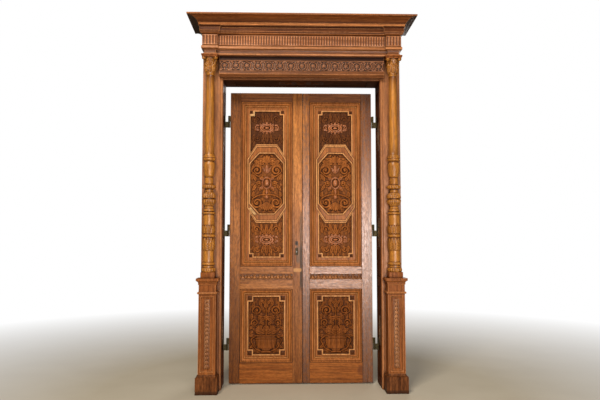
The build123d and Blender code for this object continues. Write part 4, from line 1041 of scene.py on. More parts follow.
def plate(name, outline, front, back, x=0, z=0):
    """A flat plate that faces the viewer, from an outline of its front."""
    bpy.ops.object.select_all(action="DESELECT")
    bpy.ops.mesh.primitive_circle_add(vertices=len(outline), fill_type="NGON")
    piece = bpy.context.object
    piece.name = name
    for vertex, (u, v) in zip(piece.data.vertices, outline):
        vertex.co = Vector((x + u, front, z + v)) * MM
    bpy.ops.object.mode_set(mode="EDIT")
    bpy.ops.mesh.select_all(action="SELECT")
    bpy.ops.mesh.extrude_region_move(TRANSFORM_OT_translate={"value": (0, (back - front) * MM, 0)})
    bpy.ops.mesh.select_all(action="SELECT")
    bpy.ops.mesh.normals_make_consistent(inside=False)
    bpy.ops.object.mode_set(mode="OBJECT")
    return piece


def apply_all(piece):
    bpy.ops.object.select_all(action="DESELECT")
    piece.select_set(True)
    bpy.context.view_layer.objects.active = piece
    for modifier in list(piece.modifiers):
        bpy.ops.object.modifier_apply(modifier=modifier.name)


def cut(piece, *cutters):
    """Take the cutters out of a piece."""
    for cutter in cutters:
        change = piece.modifiers.new("cut", "BOOLEAN")
        change.operation = "DIFFERENCE"
        change.solver = "EXACT"
        change.object = cutter
        apply_all(piece)
        bpy.data.objects.remove(cutter)
    return piece


def soften(piece, width, segments=2, angle=35):
    """Round the sharp edges, as hands and polish do."""
    edge = piece.modifiers.new("edge", "BEVEL")
    edge.width = width * MM
    edge.segments = segments
    edge.limit_method = "ANGLE"
    edge.angle_limit = math.radians(angle)
    apply_all(piece)
    bpy.ops.object.shade_smooth_by_angle(angle=math.radians(40))
    return piece


def join(name, pieces):
    bpy.ops.object.select_all(action="DESELECT")
    for piece in pieces:
        piece.select_set(True)
    bpy.context.view_layer.objects.active = pieces[0]
    bpy.ops.object.join()
    bpy.context.object.name = name
    bpy.context.object.data.name = name
    return bpy.context.object


def border(name, inner, outer, front, back, x, z):
    """A raised fillet between two outlines."""
    hole = plate("hole", inner, front - FIELD_SINK, back + FIELD_SINK, x, z)
    ring = cut(plate(name, outer, front, back, x, z), hole)
    ring.data.materials.append(fillet_oak)
    return soften(ring, FILLET_EDGE)


def corner_block(name, x, z, front, size=CORNER_BLOCK):
    """A small four-sided point in a notched corner."""
    half = size / 2
    square = [(-half, -half), (half, -half), (half, half), (-half, half)]
    block = plate(name, square, front, front + CORNER_DEPTH, x, z)
    mesh = block.data
    bpy.ops.object.mode_set(mode="EDIT")
    bpy.ops.mesh.select_mode(type="FACE")
    bpy.ops.mesh.select_all(action="DESELECT")
    bpy.ops.object.mode_set(mode="OBJECT")
    face = min(mesh.polygons, key=lambda p: p.center.y)
    face.select = True
    bpy.ops.object.mode_set(mode="EDIT")
    bpy.ops.mesh.inset(thickness=CORNER_EDGE * MM)
    bpy.ops.mesh.poke(offset=CORNER_RISE * MM)
    bpy.ops.object.mode_set(mode="OBJECT")
    mesh.materials.append(corner_oak)
    return block


def middle(node):
    """Centre and half sizes of a loaded piece, in mm."""
    low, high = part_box(node)
    return (low + high) / 2 / MM, (high - low) / 2 / MM


print("outline points:", len(end_field(600, 0)), len(octagon(**OCTAGON)), len(notched_field(200, 0)))

# %% [markdown]
# ## Upper panels
# An octagon of arabesques fills the middle of each tall panel,
# with a cartouche in the field above and below it.
# The arabesque is symmetrical, so each scroll and leaf is cut once and mirrored across the middle line.

# %% carve the octagon and the cartouches
PANEL_STEP = 2.2
FIELD_LAP = 6
FIELD_LIFT = 0.4
RELIEF = 11


def arabesque(field):
    """Two pairs of great scrolls on a central stalk, with an oval between them."""
    field.undergrowth(40, 38, 20, 3.5)
    field.both("leaf", 12, 186, 84, 34, 9, turn=34, bend=-0.2)
    field.both("leaf", 22, 168, 96, 36, 9, turn=8, bend=0.25, lobes=4)
    field.both("leaf", 66, 152, 78, 34, 9, turn=58, bend=-0.2)
    field.fan(0, 172, 66, 150, 7, 10)
    field.stems((0, 44), (60, 40), (120, 96), 14, 9, 0.2)
    field.both("scroll", 82, 112, 47, 19, RELIEF, turn=-20, laps=1.5, sense=1)
    field.both("leaf", 116, 126, 62, 30, 10, turn=102, bend=0.3)
    field.both("leaf", 116, 88, 66, 30, 9, turn=-66, bend=-0.3)
    field.both("leaf", 46, 142, 52, 26, 9, turn=40, bend=0.3)
    field.both("leaf", 34, 38, 50, 26, 9, turn=48)
    field.both("leaf", 42, 6, 56, 28, 9, turn=4)
    field.both("leaf", 32, -28, 50, 26, 9, turn=-48)
    field.both("leaf", 92, 24, 66, 32, 9, turn=74, bend=-0.25)
    field.both("leaf", 92, -8, 66, 32, 9, turn=-74, bend=0.25)
    field.both("scroll", 64, -2, 24, 11, 10, turn=120, laps=1.3, sense=-1)
    field.both("leaf", 6, -48, 66, 30, 10, turn=-58, bend=-0.2)
    field.stems((0, -98), (66, -84), (122, -132), 14, 9, 0.2)
    field.both("scroll", 80, -162, 49, 19, RELIEF, turn=35, laps=1.5, sense=-1)
    field.both("leaf", 114, -118, 58, 30, 10, turn=82, bend=0.25)
    field.both("leaf", 124, -172, 52, 26, 9, turn=-112, bend=-0.25)
    field.both("leaf", 34, -186, 58, 30, 9, turn=-66, bend=0.25)
    field.both("leaf", 26, -126, 52, 24, 9, turn=-34, bend=0.3)
    field.fan(0, -154, 78, 120, 9, 10, turn=-90)
    field.matting(0.35)


def crest_leaves(field, level, up):
    """Low leaves and scrolls that fill a field above and below its cartouche; up is 1 or -1."""
    field.undergrowth(38, 40, 20, 3.5, centre=level)
    field.leaf(0, level + 40 * up, 92, 40, 8, turn=90 * up)
    field.both("leaf", 10, level + 44 * up, 92, 36, 8, turn=54 * up, bend=0.25 * up)
    field.both("scroll", 80, level + 78 * up, 26, 12, 8, turn=200 * up, laps=1.25, sense=-up)
    field.both("leaf", 108, level + 50 * up, 66, 28, 7, turn=82 * up, bend=-0.3)
    field.leaf(0, level - 40 * up, 96, 38, 8, turn=-90 * up)
    field.both("leaf", 10, level - 44 * up, 96, 36, 8, turn=-52 * up, bend=-0.25 * up)
    field.both("scroll", 84, level - 90 * up, 27, 12, 8, turn=160 * up, laps=1.25, sense=up)
    field.both("leaf", 112, level - 56 * up, 92, 30, 7, turn=-84 * up, bend=0.2)
    field.both("leaf", 36, level - 98 * up, 50, 24, 7, turn=-70 * up)
    field.matting(0.35)


def cartouche(field, level):
    """An oval shield in a scalloped strap with a volute at each side."""
    for place in (0, 24, 45):
        for up in (-1, 1):
            height = 28 - 0.22 * place
            field.both("leaf", place, level + up * height, 27, 24, 10, turn=up * (90 - 0.9 * place), lobes=1)
    field.both("scroll", 82, level + 3, 21, 10, 11, turn=150, laps=1.2, sense=-1)
    field.both("leaf", 64, level - 15, 40, 20, 10, turn=-12, bend=0.3)
    field.both("leaf", 64, level + 20, 34, 17, 10, turn=16)
    field.ring(0, level, 53, 31, 11, 10)
    field.ring(0, level, 36, 20, 10, 13)
    field.oval(0, level, 20, 11, 15)


def bosses(field):
    """What stands highest on the middle line of the octagon."""
    field.oval(0, 120, 15, 38, 14)
    field.both("leaf", 6, 86, 60, 24, 11, turn=72, bend=-0.2, lobes=2)
    field.ring(0, 4, 36, 46, 12, 12)
    field.oval(0, 6, 21, 31, 15)
    field.both("leaf", 34, 30, 44, 22, 11, turn=46, lobes=2)
    field.both("leaf", 34, -22, 44, 22, 11, turn=-46, lobes=2)
    field.oval(0, -70, 11, 27, 14)
    field.oval(0, -114, 16, 17, 14)


def field_piece(name, field, outline, x, ground, z, stain, finish):
    points = front_points(field, x, ground, z, outline)
    hollow = hollowness(field.h, RELIEF, 4, stain)
    return carved_piece(name, points, hollow, (x, ground + TUCK + BACK_GAP, z), finish)


def raised_piece(name, field, level, x, ground, z):
    """A motif in paler wood that stands out of the leaves round it, cut free of its sunk ground."""
    hollow = hollowness(field.h, 1.4 * RELIEF, 3, 0.20)
    proud = field.h >= 1
    field.h[~proud] = -TUCK
    points = front_points(field, x, ground, z)
    back = (x, ground + TUCK + BACK_GAP, z + level)
    return carved_piece(name, points, hollow, back, cartouche_oak, keep=blurred(proud.astype(float), 1) > 0)


def upper_panel(side):
    node = f"{side}_upper_panel"
    centre, half = middle(node)
    face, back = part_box(f"{side}_upper_moulding")[1].y / MM, centre.y + half.y
    ground = face + FIELD_SINK
    top = half.z - MOULDING_WIDTH - UPPER_MARGIN
    x, z = centre.x, centre.z
    shape = [(-half.x, -half.z), (half.x, -half.z), (half.x, half.z), (-half.x, half.z)]
    fields = [octagon(**OCTAGON_INNER), end_field(top, 0), upside_down(end_field(top, 0))]
    board = plate(node + "_board", shape, face, back, x, z)
    board = cut(board, *[plate("sink", f, face - FIELD_SINK, ground, x, z) for f in fields])
    board.data.materials.append(panel_oak)
    rims = [border("rim", end_field(top, 0), end_field(top, FILLET_WIDTH), face - FILLET_RISE, ground, x, z)]
    lower_rim = upside_down(end_field(top, 0)), upside_down(end_field(top, FILLET_WIDTH))
    rims.append(border("rim", *lower_rim, face - FILLET_RISE, ground, x, z))
    corner_x = FIELD_HALF_WIDTH + FILLET_WIDTH - CORNER_NOTCH / 2
    corner_z = top + FILLET_WIDTH - CORNER_NOTCH / 2
    spots = [(x + s * corner_x, z + t * corner_z) for s in (-1, 1) for t in (-1, 1)]
    blocks = [corner_block("block", *spot, face - CORNER_LIFT) for spot in spots]
    panel = join(f"{side}_upper_panel_oak", [board] + rims + blocks)
    wide, tall = (2 * OCTAGON_INNER[size] + FIELD_LAP for size in ("half_width", "half_height"))
    middle_field = Relief(evenly(wide, PANEL_STEP), evenly(tall, PANEL_STEP))
    arabesque(middle_field)
    raised = []
    carvings = [field_piece("octagon", middle_field, fields[0], x, ground - FIELD_LIFT, z, 0.36, carved_oak)]
    stalk = Relief(evenly(150, PANEL_STEP), 10 + evenly(310, PANEL_STEP))
    bosses(stalk)
    raised.append(raised_piece("bosses", stalk, 10, x, ground - FIELD_LIFT, z))
    low = OCTAGON["half_height"] + OCTAGON_GAP - 90
    level = (low + top) / 2
    for up, outline, finish in ((1, fields[1], crest_oak), (-1, fields[2], carved_oak)):
        across = evenly(2 * FIELD_HALF_WIDTH + FIELD_LAP, PANEL_STEP)
        end = Relief(across, up * level + evenly(top - low + FIELD_LAP, PANEL_STEP))
        heart = up * (top + OCTAGON["half_height"] + OCTAGON_GAP) / 2
        crest_leaves(end, heart, up)
        carvings.append(field_piece("end", end, outline, x, ground - FIELD_LIFT, z, 0.5, finish))
        shield = Relief(evenly(260, PANEL_STEP), heart + evenly(150, PANEL_STEP))
        cartouche(shield, heart)
        raised.append(raised_piece("shield", shield, heart, x, ground - FIELD_LIFT, z))
    carving = join(f"{side}_upper_carving", carvings)
    motifs = join(f"{side}_upper_cartouches", raised)
    for piece in (panel, carving, motifs):
        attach(piece, f"{side}_leaf")
    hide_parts(node)
    return panel, carving


for side in SIDES:
    panel, carving = upper_panel(side)
    print(panel.name, len(panel.data.polygons), carving.name, len(carving.data.polygons), "faces")

# %% [markdown]
# ## Panel mouldings
# A moulding runs round each panel and is mitred at the corners,
# and each octagon has a flat frame with two fillets.
# A torus with only four segments is already such a ring, so its points are moved to the corners of the run:
# one round of the torus is the profile, and each strip of the profile takes its own tone.

# %% run the mouldings
FLAT_SINK = 4
FLAT_LAP = 2
GROOVE_SINK = 3.6
GROOVE_WIDTH = 4
OVERCUT = 4
# Tones of the run: the dark grooves are painted shade with dirt in them, and the paler beads are partly a
# painted highlight.
RUN = [
    (0, 19, groove_oak), (0, 5, groove_oak), (3, 5, groove_oak), (5, 0, moulding_oak), (11, 0, moulding_oak),
    (13, 4, groove_oak), (16, 2.4, moulding_oak), (21, 3, moulding_oak), (26, 5, moulding_oak),
    (31, 8.4, moulding_oak), (34, 13, groove_oak), (37, 11, bead_oak), (42, 11, bead_oak),
    (44, 15, groove_oak), (47, 13.5, moulding_oak), (51, 14.5, moulding_oak), (54, 17.8, groove_oak),
    (54, 19, groove_oak),
]


def run_moulding(name, half_width, half_height, front, x, z):
    """A mitred ring; each point of the run has a reach inward and a depth behind the front."""
    corners = [(-1, -1), (1, -1), (1, 1), (-1, 1)]
    bpy.ops.object.select_all(action="DESELECT")
    bpy.ops.mesh.primitive_torus_add(major_segments=len(corners), minor_segments=len(RUN))
    ring = bpy.context.object
    ring.name = name
    for index, vertex in enumerate(ring.data.vertices):
        corner, step = divmod(index, len(RUN))
        right, up = corners[corner]
        reach, depth, _ = RUN[step]
        place = x + right * (half_width - reach), front + depth, z + up * (half_height - reach)
        vertex.co = Vector(place) * MM
    tones = list(dict.fromkeys(tone for _, _, tone in RUN))
    for tone in tones:
        ring.data.materials.append(tone)
    for face in ring.data.polygons:
        steps = sorted({v % len(RUN) for v in face.vertices})
        first = steps[-1] if steps[-1] - steps[0] > 1 else steps[0]
        face.material_index = tones.index(RUN[first][2])
    bpy.ops.object.mode_set(mode="EDIT")
    bpy.ops.mesh.select_all(action="SELECT")
    bpy.ops.mesh.normals_make_consistent(inside=False)
    bpy.ops.object.mode_set(mode="OBJECT")
    bpy.ops.object.shade_smooth_by_angle(angle=math.radians(32))
    return ring


def grown(shape, by):
    """An octagon with every side moved out by the same amount."""
    rise, run = shape["shoulder"], shape["half_width"] - shape["flat_half"]
    slope_x, slope_z = rise / math.hypot(rise, run), run / math.hypot(rise, run)
    shoulder = rise + by - by * (1 - slope_x) / slope_z
    flat_half = shape["flat_half"] + by * (1 - slope_z) / slope_x
    sides = {"half_width": shape["half_width"] + by, "half_height": shape["half_height"] + by}
    return octagon(**sides, flat_half=flat_half, shoulder=shoulder)


def octagon_frame(side):
    node = f"{side}_octagon_frame"
    centre, half = middle(node)
    front, back = centre.y - half.y, centre.y + half.y
    x, z = centre.x, centre.z
    through = front - OVERCUT, back + OVERCUT
    outer_edge, inner_edge = grown(OCTAGON, -FILLET_WIDTH), grown(OCTAGON_INNER, FILLET_WIDTH)
    flat = plate("flat", grown(OCTAGON, -FLAT_LAP), front + FLAT_SINK, back, x, z)
    flat = cut(flat, plate("hole", grown(OCTAGON_INNER, FLAT_LAP), *through, x, z))
    flat.data.materials.append(panel_oak)
    groove = plate("groove", outer_edge, front + GROOVE_SINK, back, x, z)
    groove = cut(groove, plate("hole", grown(OCTAGON, -FILLET_WIDTH - GROOVE_WIDTH), *through, x, z))
    inner_groove = grown(OCTAGON_INNER, FILLET_WIDTH + GROOVE_WIDTH)
    inner_groove = plate("groove", inner_groove, front + GROOVE_SINK, back, x, z)
    inner_groove = cut(inner_groove, plate("hole", inner_edge, *through, x, z))
    for dark in (groove, inner_groove):
        dark.data.materials.append(groove_oak)
    outer_fillet = border("rim", outer_edge, octagon(**OCTAGON), front, back, x, z)
    inner_fillet = border("rim", octagon(**OCTAGON_INNER), inner_edge, front, back, x, z)
    piece = join(f"{side}_octagon_frame_oak", [flat, groove, inner_groove, outer_fillet, inner_fillet])
    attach(piece, f"{side}_leaf")
    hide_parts(node)
    return piece


for side in SIDES:
    for place in ("upper", "lower"):
        node = f"{side}_{place}_moulding"
        centre, half = middle(node)
        ring = run_moulding(f"{node}_run", half.x, half.z, centre.y - half.y, centre.x, centre.z)
        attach(ring, f"{side}_leaf")
        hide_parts(node)
    print(octagon_frame(side).name, "and two mouldings")

# %% [markdown]
# ## Lower panels
# A two-handled bowl holds a spray of leaves, flowers and scrolls, in one field notched at its four corners.
# The bowl is a turned body seen from the front,
# so its outline is given and its roundness follows from the outline.

# %% carve the bowl and its spray
BOWL_LEVELS = [-222, -214, -206, -198, -186, -150, -112, -90]
BOWL_HALF_WIDTHS = [46, 42, 20, 32, 64, 82, 88, 84]


def bouquet(field):
    field.undergrowth(40, 38, 20, 3.5)
    field.both("leaf", 50, -206, 76, 30, 8, turn=8, bend=-0.25)
    field.both("leaf", 96, -150, 60, 28, 8, turn=-58, bend=0.3)
    field.both("leaf", 96, -80, 56, 30, 8, turn=-24, bend=0.3)
    field.stem((0, -84), (0, 40), (0, 150), 11, 9, 0.3)
    field.both("leaf", 6, -72, 96, 40, 10, turn=42, bend=-0.25, lobes=4)
    field.both("leaf", 20, -76, 116, 34, 9, turn=14, bend=0.3, lobes=4)
    field.both("fan", 44, -42, 46, 150, 7, 10, turn=40)
    field.stems((0, -40), (62, -30), (114, 14), 11, 8, 0.3)
    field.both("scroll", 94, 22, 32, 14, 10, turn=-60, laps=1.4, sense=1)
    field.both("leaf", 116, -8, 54, 26, 9, turn=-50, bend=0.3)
    field.both("leaf", 68, 46, 54, 28, 9, turn=128, bend=-0.3)
    field.both("leaf", 14, 4, 60, 28, 9, turn=34, bend=0.2)
    field.both("leaf", 14, 40, 56, 28, 9, turn=20, bend=0.3)
    field.stems((0, 66), (52, 66), (106, 108), 11, 8, 0.3)
    field.both("scroll", 76, 122, 40, 17, RELIEF, turn=-30, laps=1.5, sense=1)
    field.both("leaf", 108, 138, 68, 30, 9, turn=84, bend=0.25)
    field.both("leaf", 116, 96, 56, 28, 8, turn=-70, bend=-0.25)
    field.both("leaf", 42, 156, 64, 28, 9, turn=66, bend=0.3)
    field.both("leaf", 6, 172, 60, 28, 9, turn=58, bend=-0.25)
    field.leaf(0, 172, 56, 28, 9, turn=90)
    field.both("leaf", 12, 102, 54, 24, 9, turn=60, bend=0.25)
    field.body(BOWL_LEVELS, BOWL_HALF_WIDTHS, 8, 13)
    for place in (-60, -36, -12, 12, 36, 60):
        field.leaf(place, -112, 76, 19, 12, turn=-90 + 0.4 * place, lobes=1)
    for level, half in ((-82, 96), (-106, 90), (-200, 30)):
        field.stem((-half, level), (0, level), (half, level), 10, 14, 0.0)
    field.stems((90, -92), (146, -112), (112, -150), 13, 12, 0.1)
    field.stems((112, -150), (100, -196), (46, -210), 13, 12, 0.3)
    field.flower(0, -24, 28, 8, 13)
    field.flower(0, 62, 25, 6, 12)
    field.flower(0, 160, 22, 6, 12)
    field.matting(0.35)


def lower_panel(side):
    node = f"{side}_lower_panel"
    centre, half = middle(node)
    face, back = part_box(f"{side}_lower_moulding")[1].y / MM, centre.y + half.y
    ground = face + FIELD_SINK
    top = half.z - MOULDING_WIDTH - LOWER_MARGIN
    x, z = centre.x, centre.z
    shape = [(-half.x, -half.z), (half.x, -half.z), (half.x, half.z), (-half.x, half.z)]
    outline = notched_field(top, 0)
    board = plate("board", shape, face, back, x, z)
    board = cut(board, plate("sink", outline, face - FIELD_SINK, ground, x, z))
    board.data.materials.append(panel_oak)
    rim = border("rim", outline, notched_field(top, FILLET_WIDTH), face - FILLET_RISE, ground, x, z)
    corner_x = LOWER_HALF_WIDTH + FILLET_WIDTH - LOWER_NOTCH / 2
    corner_z = top + FILLET_WIDTH - LOWER_NOTCH / 2
    spots = [(x + s * corner_x, z + t * corner_z) for s in (-1, 1) for t in (-1, 1)]
    blocks = [corner_block("block", *spot, face - CORNER_LIFT, LOWER_BLOCK) for spot in spots]
    panel = join(f"{side}_lower_panel_oak", [board, rim] + blocks)
    across = evenly(2 * LOWER_HALF_WIDTH + FIELD_LAP, PANEL_STEP)
    field = Relief(across, evenly(2 * top + FIELD_LAP, PANEL_STEP))
    bouquet(field)
    carving = field_piece(f"{side}_lower_carving", field, outline, x, ground - FIELD_LIFT, z, 0.45, spray_oak)
    for piece in (panel, carving):
        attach(piece, f"{side}_leaf")
    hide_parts(node)
    return panel, carving


for side in SIDES:
    panel, carving = lower_panel(side)
    print(panel.name, len(panel.data.polygons), carving.name, len(carving.data.polygons), "faces")

# %% [markdown]
# ## Strips of ornament
# Three long strips carry one motif over and over: eggs and darts on the lock rails, husks on the pedestals
# and rosettes in scrolls on the band under the frieze.
# The motif is cut in a loop along the strip; the pitch comes from the length of the strip and the count.

# %% carve the strips
RAIL_UNITS = 9
ROSETTES = 15
PETALS = 6
HUSKS = 17
RAIL_GROUND = 1
HUSK_GROUND = 0.5
BAND_GROUND = 1.5


def rail_strip(side):
    node = f"{side}_rail_strip"
    centre, half = middle(node)
    field = Relief(evenly(2 * half.x, 2.0), evenly(2 * half.z, 1.5))
    pitch = 2 * half.x / RAIL_UNITS
    for index in range(RAIL_UNITS):
        x = (index + 0.5) * pitch - half.x
        field.oval(x, -5, pitch * 0.29, 11, 9)
        field.ring(x, -4, pitch * 0.43, 14, 5, 7)
        for edge in (-0.5, 0.5):
            field.leaf(x + edge * pitch, 10, 28, 13, 8, turn=-90, lobes=1)
        field.leaf(x, 6, 13, 24, 8, turn=90, lobes=1)
    field.bar(-half.z + 3, 6, 6)
    field.bar(half.z - 3, 6, 8)
    back = centre.y + half.y
    points = front_points(field, centre.x, back - RAIL_GROUND, centre.z, rim=0)
    hollow = hollowness(field.h, 7, 3, 0.22)
    piece = carved_piece(f"{side}_rail_carving", points, hollow, (centre.x, back, centre.z), rail_carved)
    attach(piece, f"{side}_leaf")
    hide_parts(node)
    return piece


def husk_drop(side):
    node = f"{side}_husk_drop"
    centre, half = middle(node)
    field = Relief(evenly(2 * half.x, 1.8), evenly(2 * half.z, 1.8))
    pitch = 2 * half.z / HUSKS
    for index in range(HUSKS):
        z = (index + 1) * pitch - half.z
        field.both("leaf", 2, z, 1.05 * pitch, 14, 7, turn=-52, lobes=1, bend=-0.3)
        field.leaf(0, z, 1.15 * pitch, 15, 9, turn=-90, lobes=1)
        field.oval(0, z - 3, 4, 4, 9)
    back = centre.y + half.y
    points = front_points(field, centre.x, back - HUSK_GROUND, centre.z, rim=0)
    hollow = hollowness(field.h, 8, 3)
    piece = carved_piece(f"{side}_husk_carving", points, hollow, (centre.x, back, centre.z), drop_oak)
    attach(piece, "frame")
    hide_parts(node)
    return piece


def rosette_band():
    centre, half = middle("scroll_band")
    field = Relief(evenly(2 * half.x, 2.0), evenly(2 * half.z, 1.9))
    pitch = 2 * half.x / ROSETTES
    for index in range(ROSETTES):
        x = (index + 0.5) * pitch - half.x
        up = 1 if index % 2 else -1
        opening = 90 * up
        field.arc(x, 0, 31, 7, 9, opening + 38, opening + 322)
        for petal in range(PETALS):
            field.leaf(x, 0, 23, 13, 10, turn=360 / PETALS * (petal + 0.5), lobes=1)
        field.oval(x, 0, 6, 6, 12)
        for side in (-1, 1):
            field.leaf(x + side * 18, 25 * up, 34, 15, 8, turn=90 - side * 62 * up + 90 * (1 - up), lobes=2)
            field.leaf(x + side * 30, -20 * up, 24, 12, 7, turn=-90 * up + side * 40 * up, lobes=2)
        field.leaf(x, 22 * up, 16, 14, 8, turn=90 * up, lobes=1)
    for edge in (-1, 1):
        field.bar(edge * (half.z - 3), 6, 9)
    field.matting(0.25)
    back = centre.y + half.y
    points = front_points(field, centre.x, back - BAND_GROUND, centre.z, rim=0)
    hollow = hollowness(field.h, 9, 3)
    piece = carved_piece("rosette_band", points, hollow, (centre.x, back, centre.z), band_oak)
    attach(piece, "frame")
    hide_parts("scroll_band")
    return piece


rail_carved = oak(
    "oak_rail_carved", LEAF_PALE, LEAF_DEEP, "across", (0.5, 0.1, 0.2), 0.34, (0.07, 0.020, 0.005), shine=0.4
)
strips = [rail_strip(side) for side in SIDES] + [husk_drop(side) for side in SIDES] + [rosette_band()]
print("strips:", [(strip.name, len(strip.data.polygons)) for strip in strips])

# %% [markdown]
# ## Fluted frieze
# Hollow flutes with round ends stand side by side along the frieze,
# and a few more on the block over each column.
# Points are only needed close together across a flute and near its ends,
# so the lines of the grid are spaced to suit.

# %% cut the flutes
FLUTES = 64
BLOCK_FLUTES = 5
FLUTE_WIDTH_SHARE = 0.62
FLUTE_HALF_HEIGHT = 37.6
FLUTE_DEPTH = 5
FLUTE_COLUMNS = 10
SIDE_BOARD = 22


def fluted_face(count, x, half_width, front, z, half_height):
    """A face with a row of flutes, standing on the board behind it."""
    pitch = 2 * half_width / count
    radius = pitch * FLUTE_WIDTH_SHARE / 2
    straight = FLUTE_HALF_HEIGHT - radius
    across = np.linspace(-half_width, half_width, count * FLUTE_COLUMNS + 1)
    end = straight + radius * np.array([0, 0.35, 0.65, 0.85, 1.0, 1.15])
    up = np.concatenate([[-half_height], -end[::-1], [0], end, [half_height]])
    field = Relief(across, up)
    offset = (field.u + half_width) % pitch - pitch / 2
    away = np.hypot(offset, np.clip(np.abs(field.v) - straight, 0, None)) / radius
    field.h = FLUTE_DEPTH * (1 - 0.9 * np.sqrt(np.clip(1 - away**2, 0, 1)))
    # Painted shade: darker deeper in each flute.
    hollow = np.clip(1 - field.h / FLUTE_DEPTH, 0, 1) ** 0.6
    points = front_points(field, x, front + FLUTE_DEPTH, z, rim=0.5)
    return carved_piece("flutes", points, hollow, (x, front + FLUTE_DEPTH + BACK_GAP, z), flute_oak)


def box_plate(name, low, high, finish):
    """A plain board between two corners."""
    shape = [(low[0], low[2]), (high[0], low[2]), (high[0], high[2]), (low[0], high[2])]
    board = plate(name, shape, low[1], high[1])
    board.data.materials.append(finish)
    return board


def fluted(name, node, count, boards, centre, half_width, front, half_height):
    face = fluted_face(count, centre.x, half_width, front, centre.z, half_height)
    piece = join(name, boards + [face])
    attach(piece, "frame")
    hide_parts(node)
    return piece


# Paler than the frame oak, partly a painted sheen on the frieze; the dark ground is painted shade in the
# flutes.
flute_oak = oak(
    "oak_flutes", (0.68, 0.29, 0.125), FRAME_PALE, "across", (0.4, 0.2, 0.2), 0.36,
    (0.10, 0.030, 0.009), shine=0.3,
)
low, high = (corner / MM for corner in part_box("frieze"))
centre, half = middle("frieze")
board = box_plate("board", (low.x, low.y + FLUTE_DEPTH, low.z), high, frame_across)
friezes = [fluted("frieze_fluted", "frieze", FLUTES, [board], centre, half.x, low.y, half.z)]
level, half_height = centre.z, half.z
for side, way in SIDES.items():
    node = f"{side}_frieze_block"
    low, high = (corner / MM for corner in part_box(node))
    jamb_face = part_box(f"{side}_jamb")[0].y / MM
    block_low = (low.x, low.y + FLUTE_DEPTH, level - half_height)
    block_high = (high.x, jamb_face, level + half_height)
    outer = (high.x - SIDE_BOARD, high.x) if way > 0 else (low.x, low.x + SIDE_BOARD)
    block = box_plate("block", block_low, block_high, frame_upright)
    side_board = box_plate("side", (outer[0], jamb_face, low.z), (outer[1], high.y, high.z), frame_upright)
    centre, half = middle(node)
    centre.z = level
    name = f"{side}_frieze_block_fluted"
    friezes.append(fluted(name, node, BLOCK_FLUTES, [block, side_board], centre, half.x, low.y, half_height))
print("friezes:", [(piece.name, len(piece.data.polygons)) for piece in friezes])

# %% [markdown]
# ## Columns
# A column is turned on a lathe first and carved afterwards, and it is made in that order here:
# a list of levels and radii gives the turning, each with the curve that leads up to it,
# and gadroons and leaves are then added to the radius all the way round.

# %% turn and carve the columns
COLUMN_FOOT_LIFT = 47
COLUMN_AXIS_Y = -69
MEAN_RADIUS = 45
AROUND = 104
TURNING = [
    (0, 49, "line"), (32, 49, "bead"), (34, 46, "line"), (52, 45, "hollow"), (57, 48.5, "line"),
    (75, 46, "bead"), (77, 43.5, "line"), (167, 43.5, "line"), (223, 45, "swell"), (272, 44, "line"),
    (276, 48, "line"), (295, 48, "bead"), (298, 44, "line"), (353, 47, "swell"), (373, 45, "hollow"),
    (455, 45, "line"), (459, 50, "line"), (472, 50, "bead"), (475, 36, "line"), (498, 37, "bead"),
    (521, 34, "hollow"), (531, 41, "line"), (563, 55, "swell"), (572, 55, "line"), (576, 45, "line"),
    (583, 45, "line"), (587, 55, "line"), (596, 55, "line"), (626, 41, "fall"), (633, 34, "line"),
    (658, 34, "hollow"), (664, 49, "line"), (687, 49, "bead"), (695, 34, "line"), (744, 33, "line"),
    (750, 29, "line"), (770, 39, "swell"), (843, 46, "swell"), (878, 38, "fall"), (888, 47, "line"),
    (903, 47, "bead"), (906, 44, "line"), (922, 44, "bead"), (938, 37, "hollow"), (1577, 30.8, "line"),
    (1580, 33, "line"), (1590, 33, "bead"),
]
COLUMN_STEP = 2.2
SHAFT_ROWS = 24
NECK_LEVELS = [1579, 1582, 1586, 1590]
COLUMN_BLOCK_HALF = 53
COLUMN_BLOCK_EDGE = 2.5
GADROON_RISE = 6
GADROONS = [
    (2, 32, 16, 6.0), (60, 74, 18, 2.0), (531, 571, 20, 7.0), (587, 628, 20, 7.0), (664, 687, 16, 6.0),
]
CURVES = {
    "line": lambda t: t,
    "bead": lambda t: t,
    "swell": lambda t: np.sin(t * np.pi / 2),
    "fall": lambda t: 1 - np.cos(t * np.pi / 2),
    "hollow": lambda t: 1 - np.cos(t * np.pi / 2),
}
BEAD_BULGE = 0.28
CARVING_SHARE = 0.9
CARVED_ZONES = [(168, 271), (299, 372)]


def turned_radius(levels):
    """The radius at each level, from the list of turnings."""
    radius = np.full_like(levels, TURNING[0][1])
    for (low, start, _), (high, end, form) in zip(TURNING, TURNING[1:]):
        inside = (levels >= low) & (levels <= high)
        t = (levels[inside] - low) / (high - low)
        arch = np.sqrt(np.clip(1 - (2 * t - 1) ** 2, 0, 1))
        bulge = BEAD_BULGE * (high - low) * arch if form == "bead" else 0
        radius[inside] = start + (end - start) * CURVES[form](t) + bulge
    return radius


def leaf_ring(field, count, level, length, width, height, turn=90, half_step=False, **more):
    """Leaves at even spaces round a turned piece."""
    pitch = TAU * MEAN_RADIUS / count
    shift = 0.5 if half_step else 0
    for index in range(-count // 2 - 1, count // 2 + 2):
        field.leaf((index + shift) * pitch, level, length, width, height, turn=turn, **more)


def column_carving(field):
    leaf_ring(field, 5, 168, 104, 46, 7, half_step=True, lobes=5)
    leaf_ring(field, 5, 168, 104, 46, 10, lobes=5)
    leaf_ring(field, 10, 270, 44, 16, 8, turn=-90, lobes=1)
    leaf_ring(field, 7, 299, 74, 34, 6, half_step=True, lobes=3)
    leaf_ring(field, 7, 299, 74, 32, 9, lobes=4)


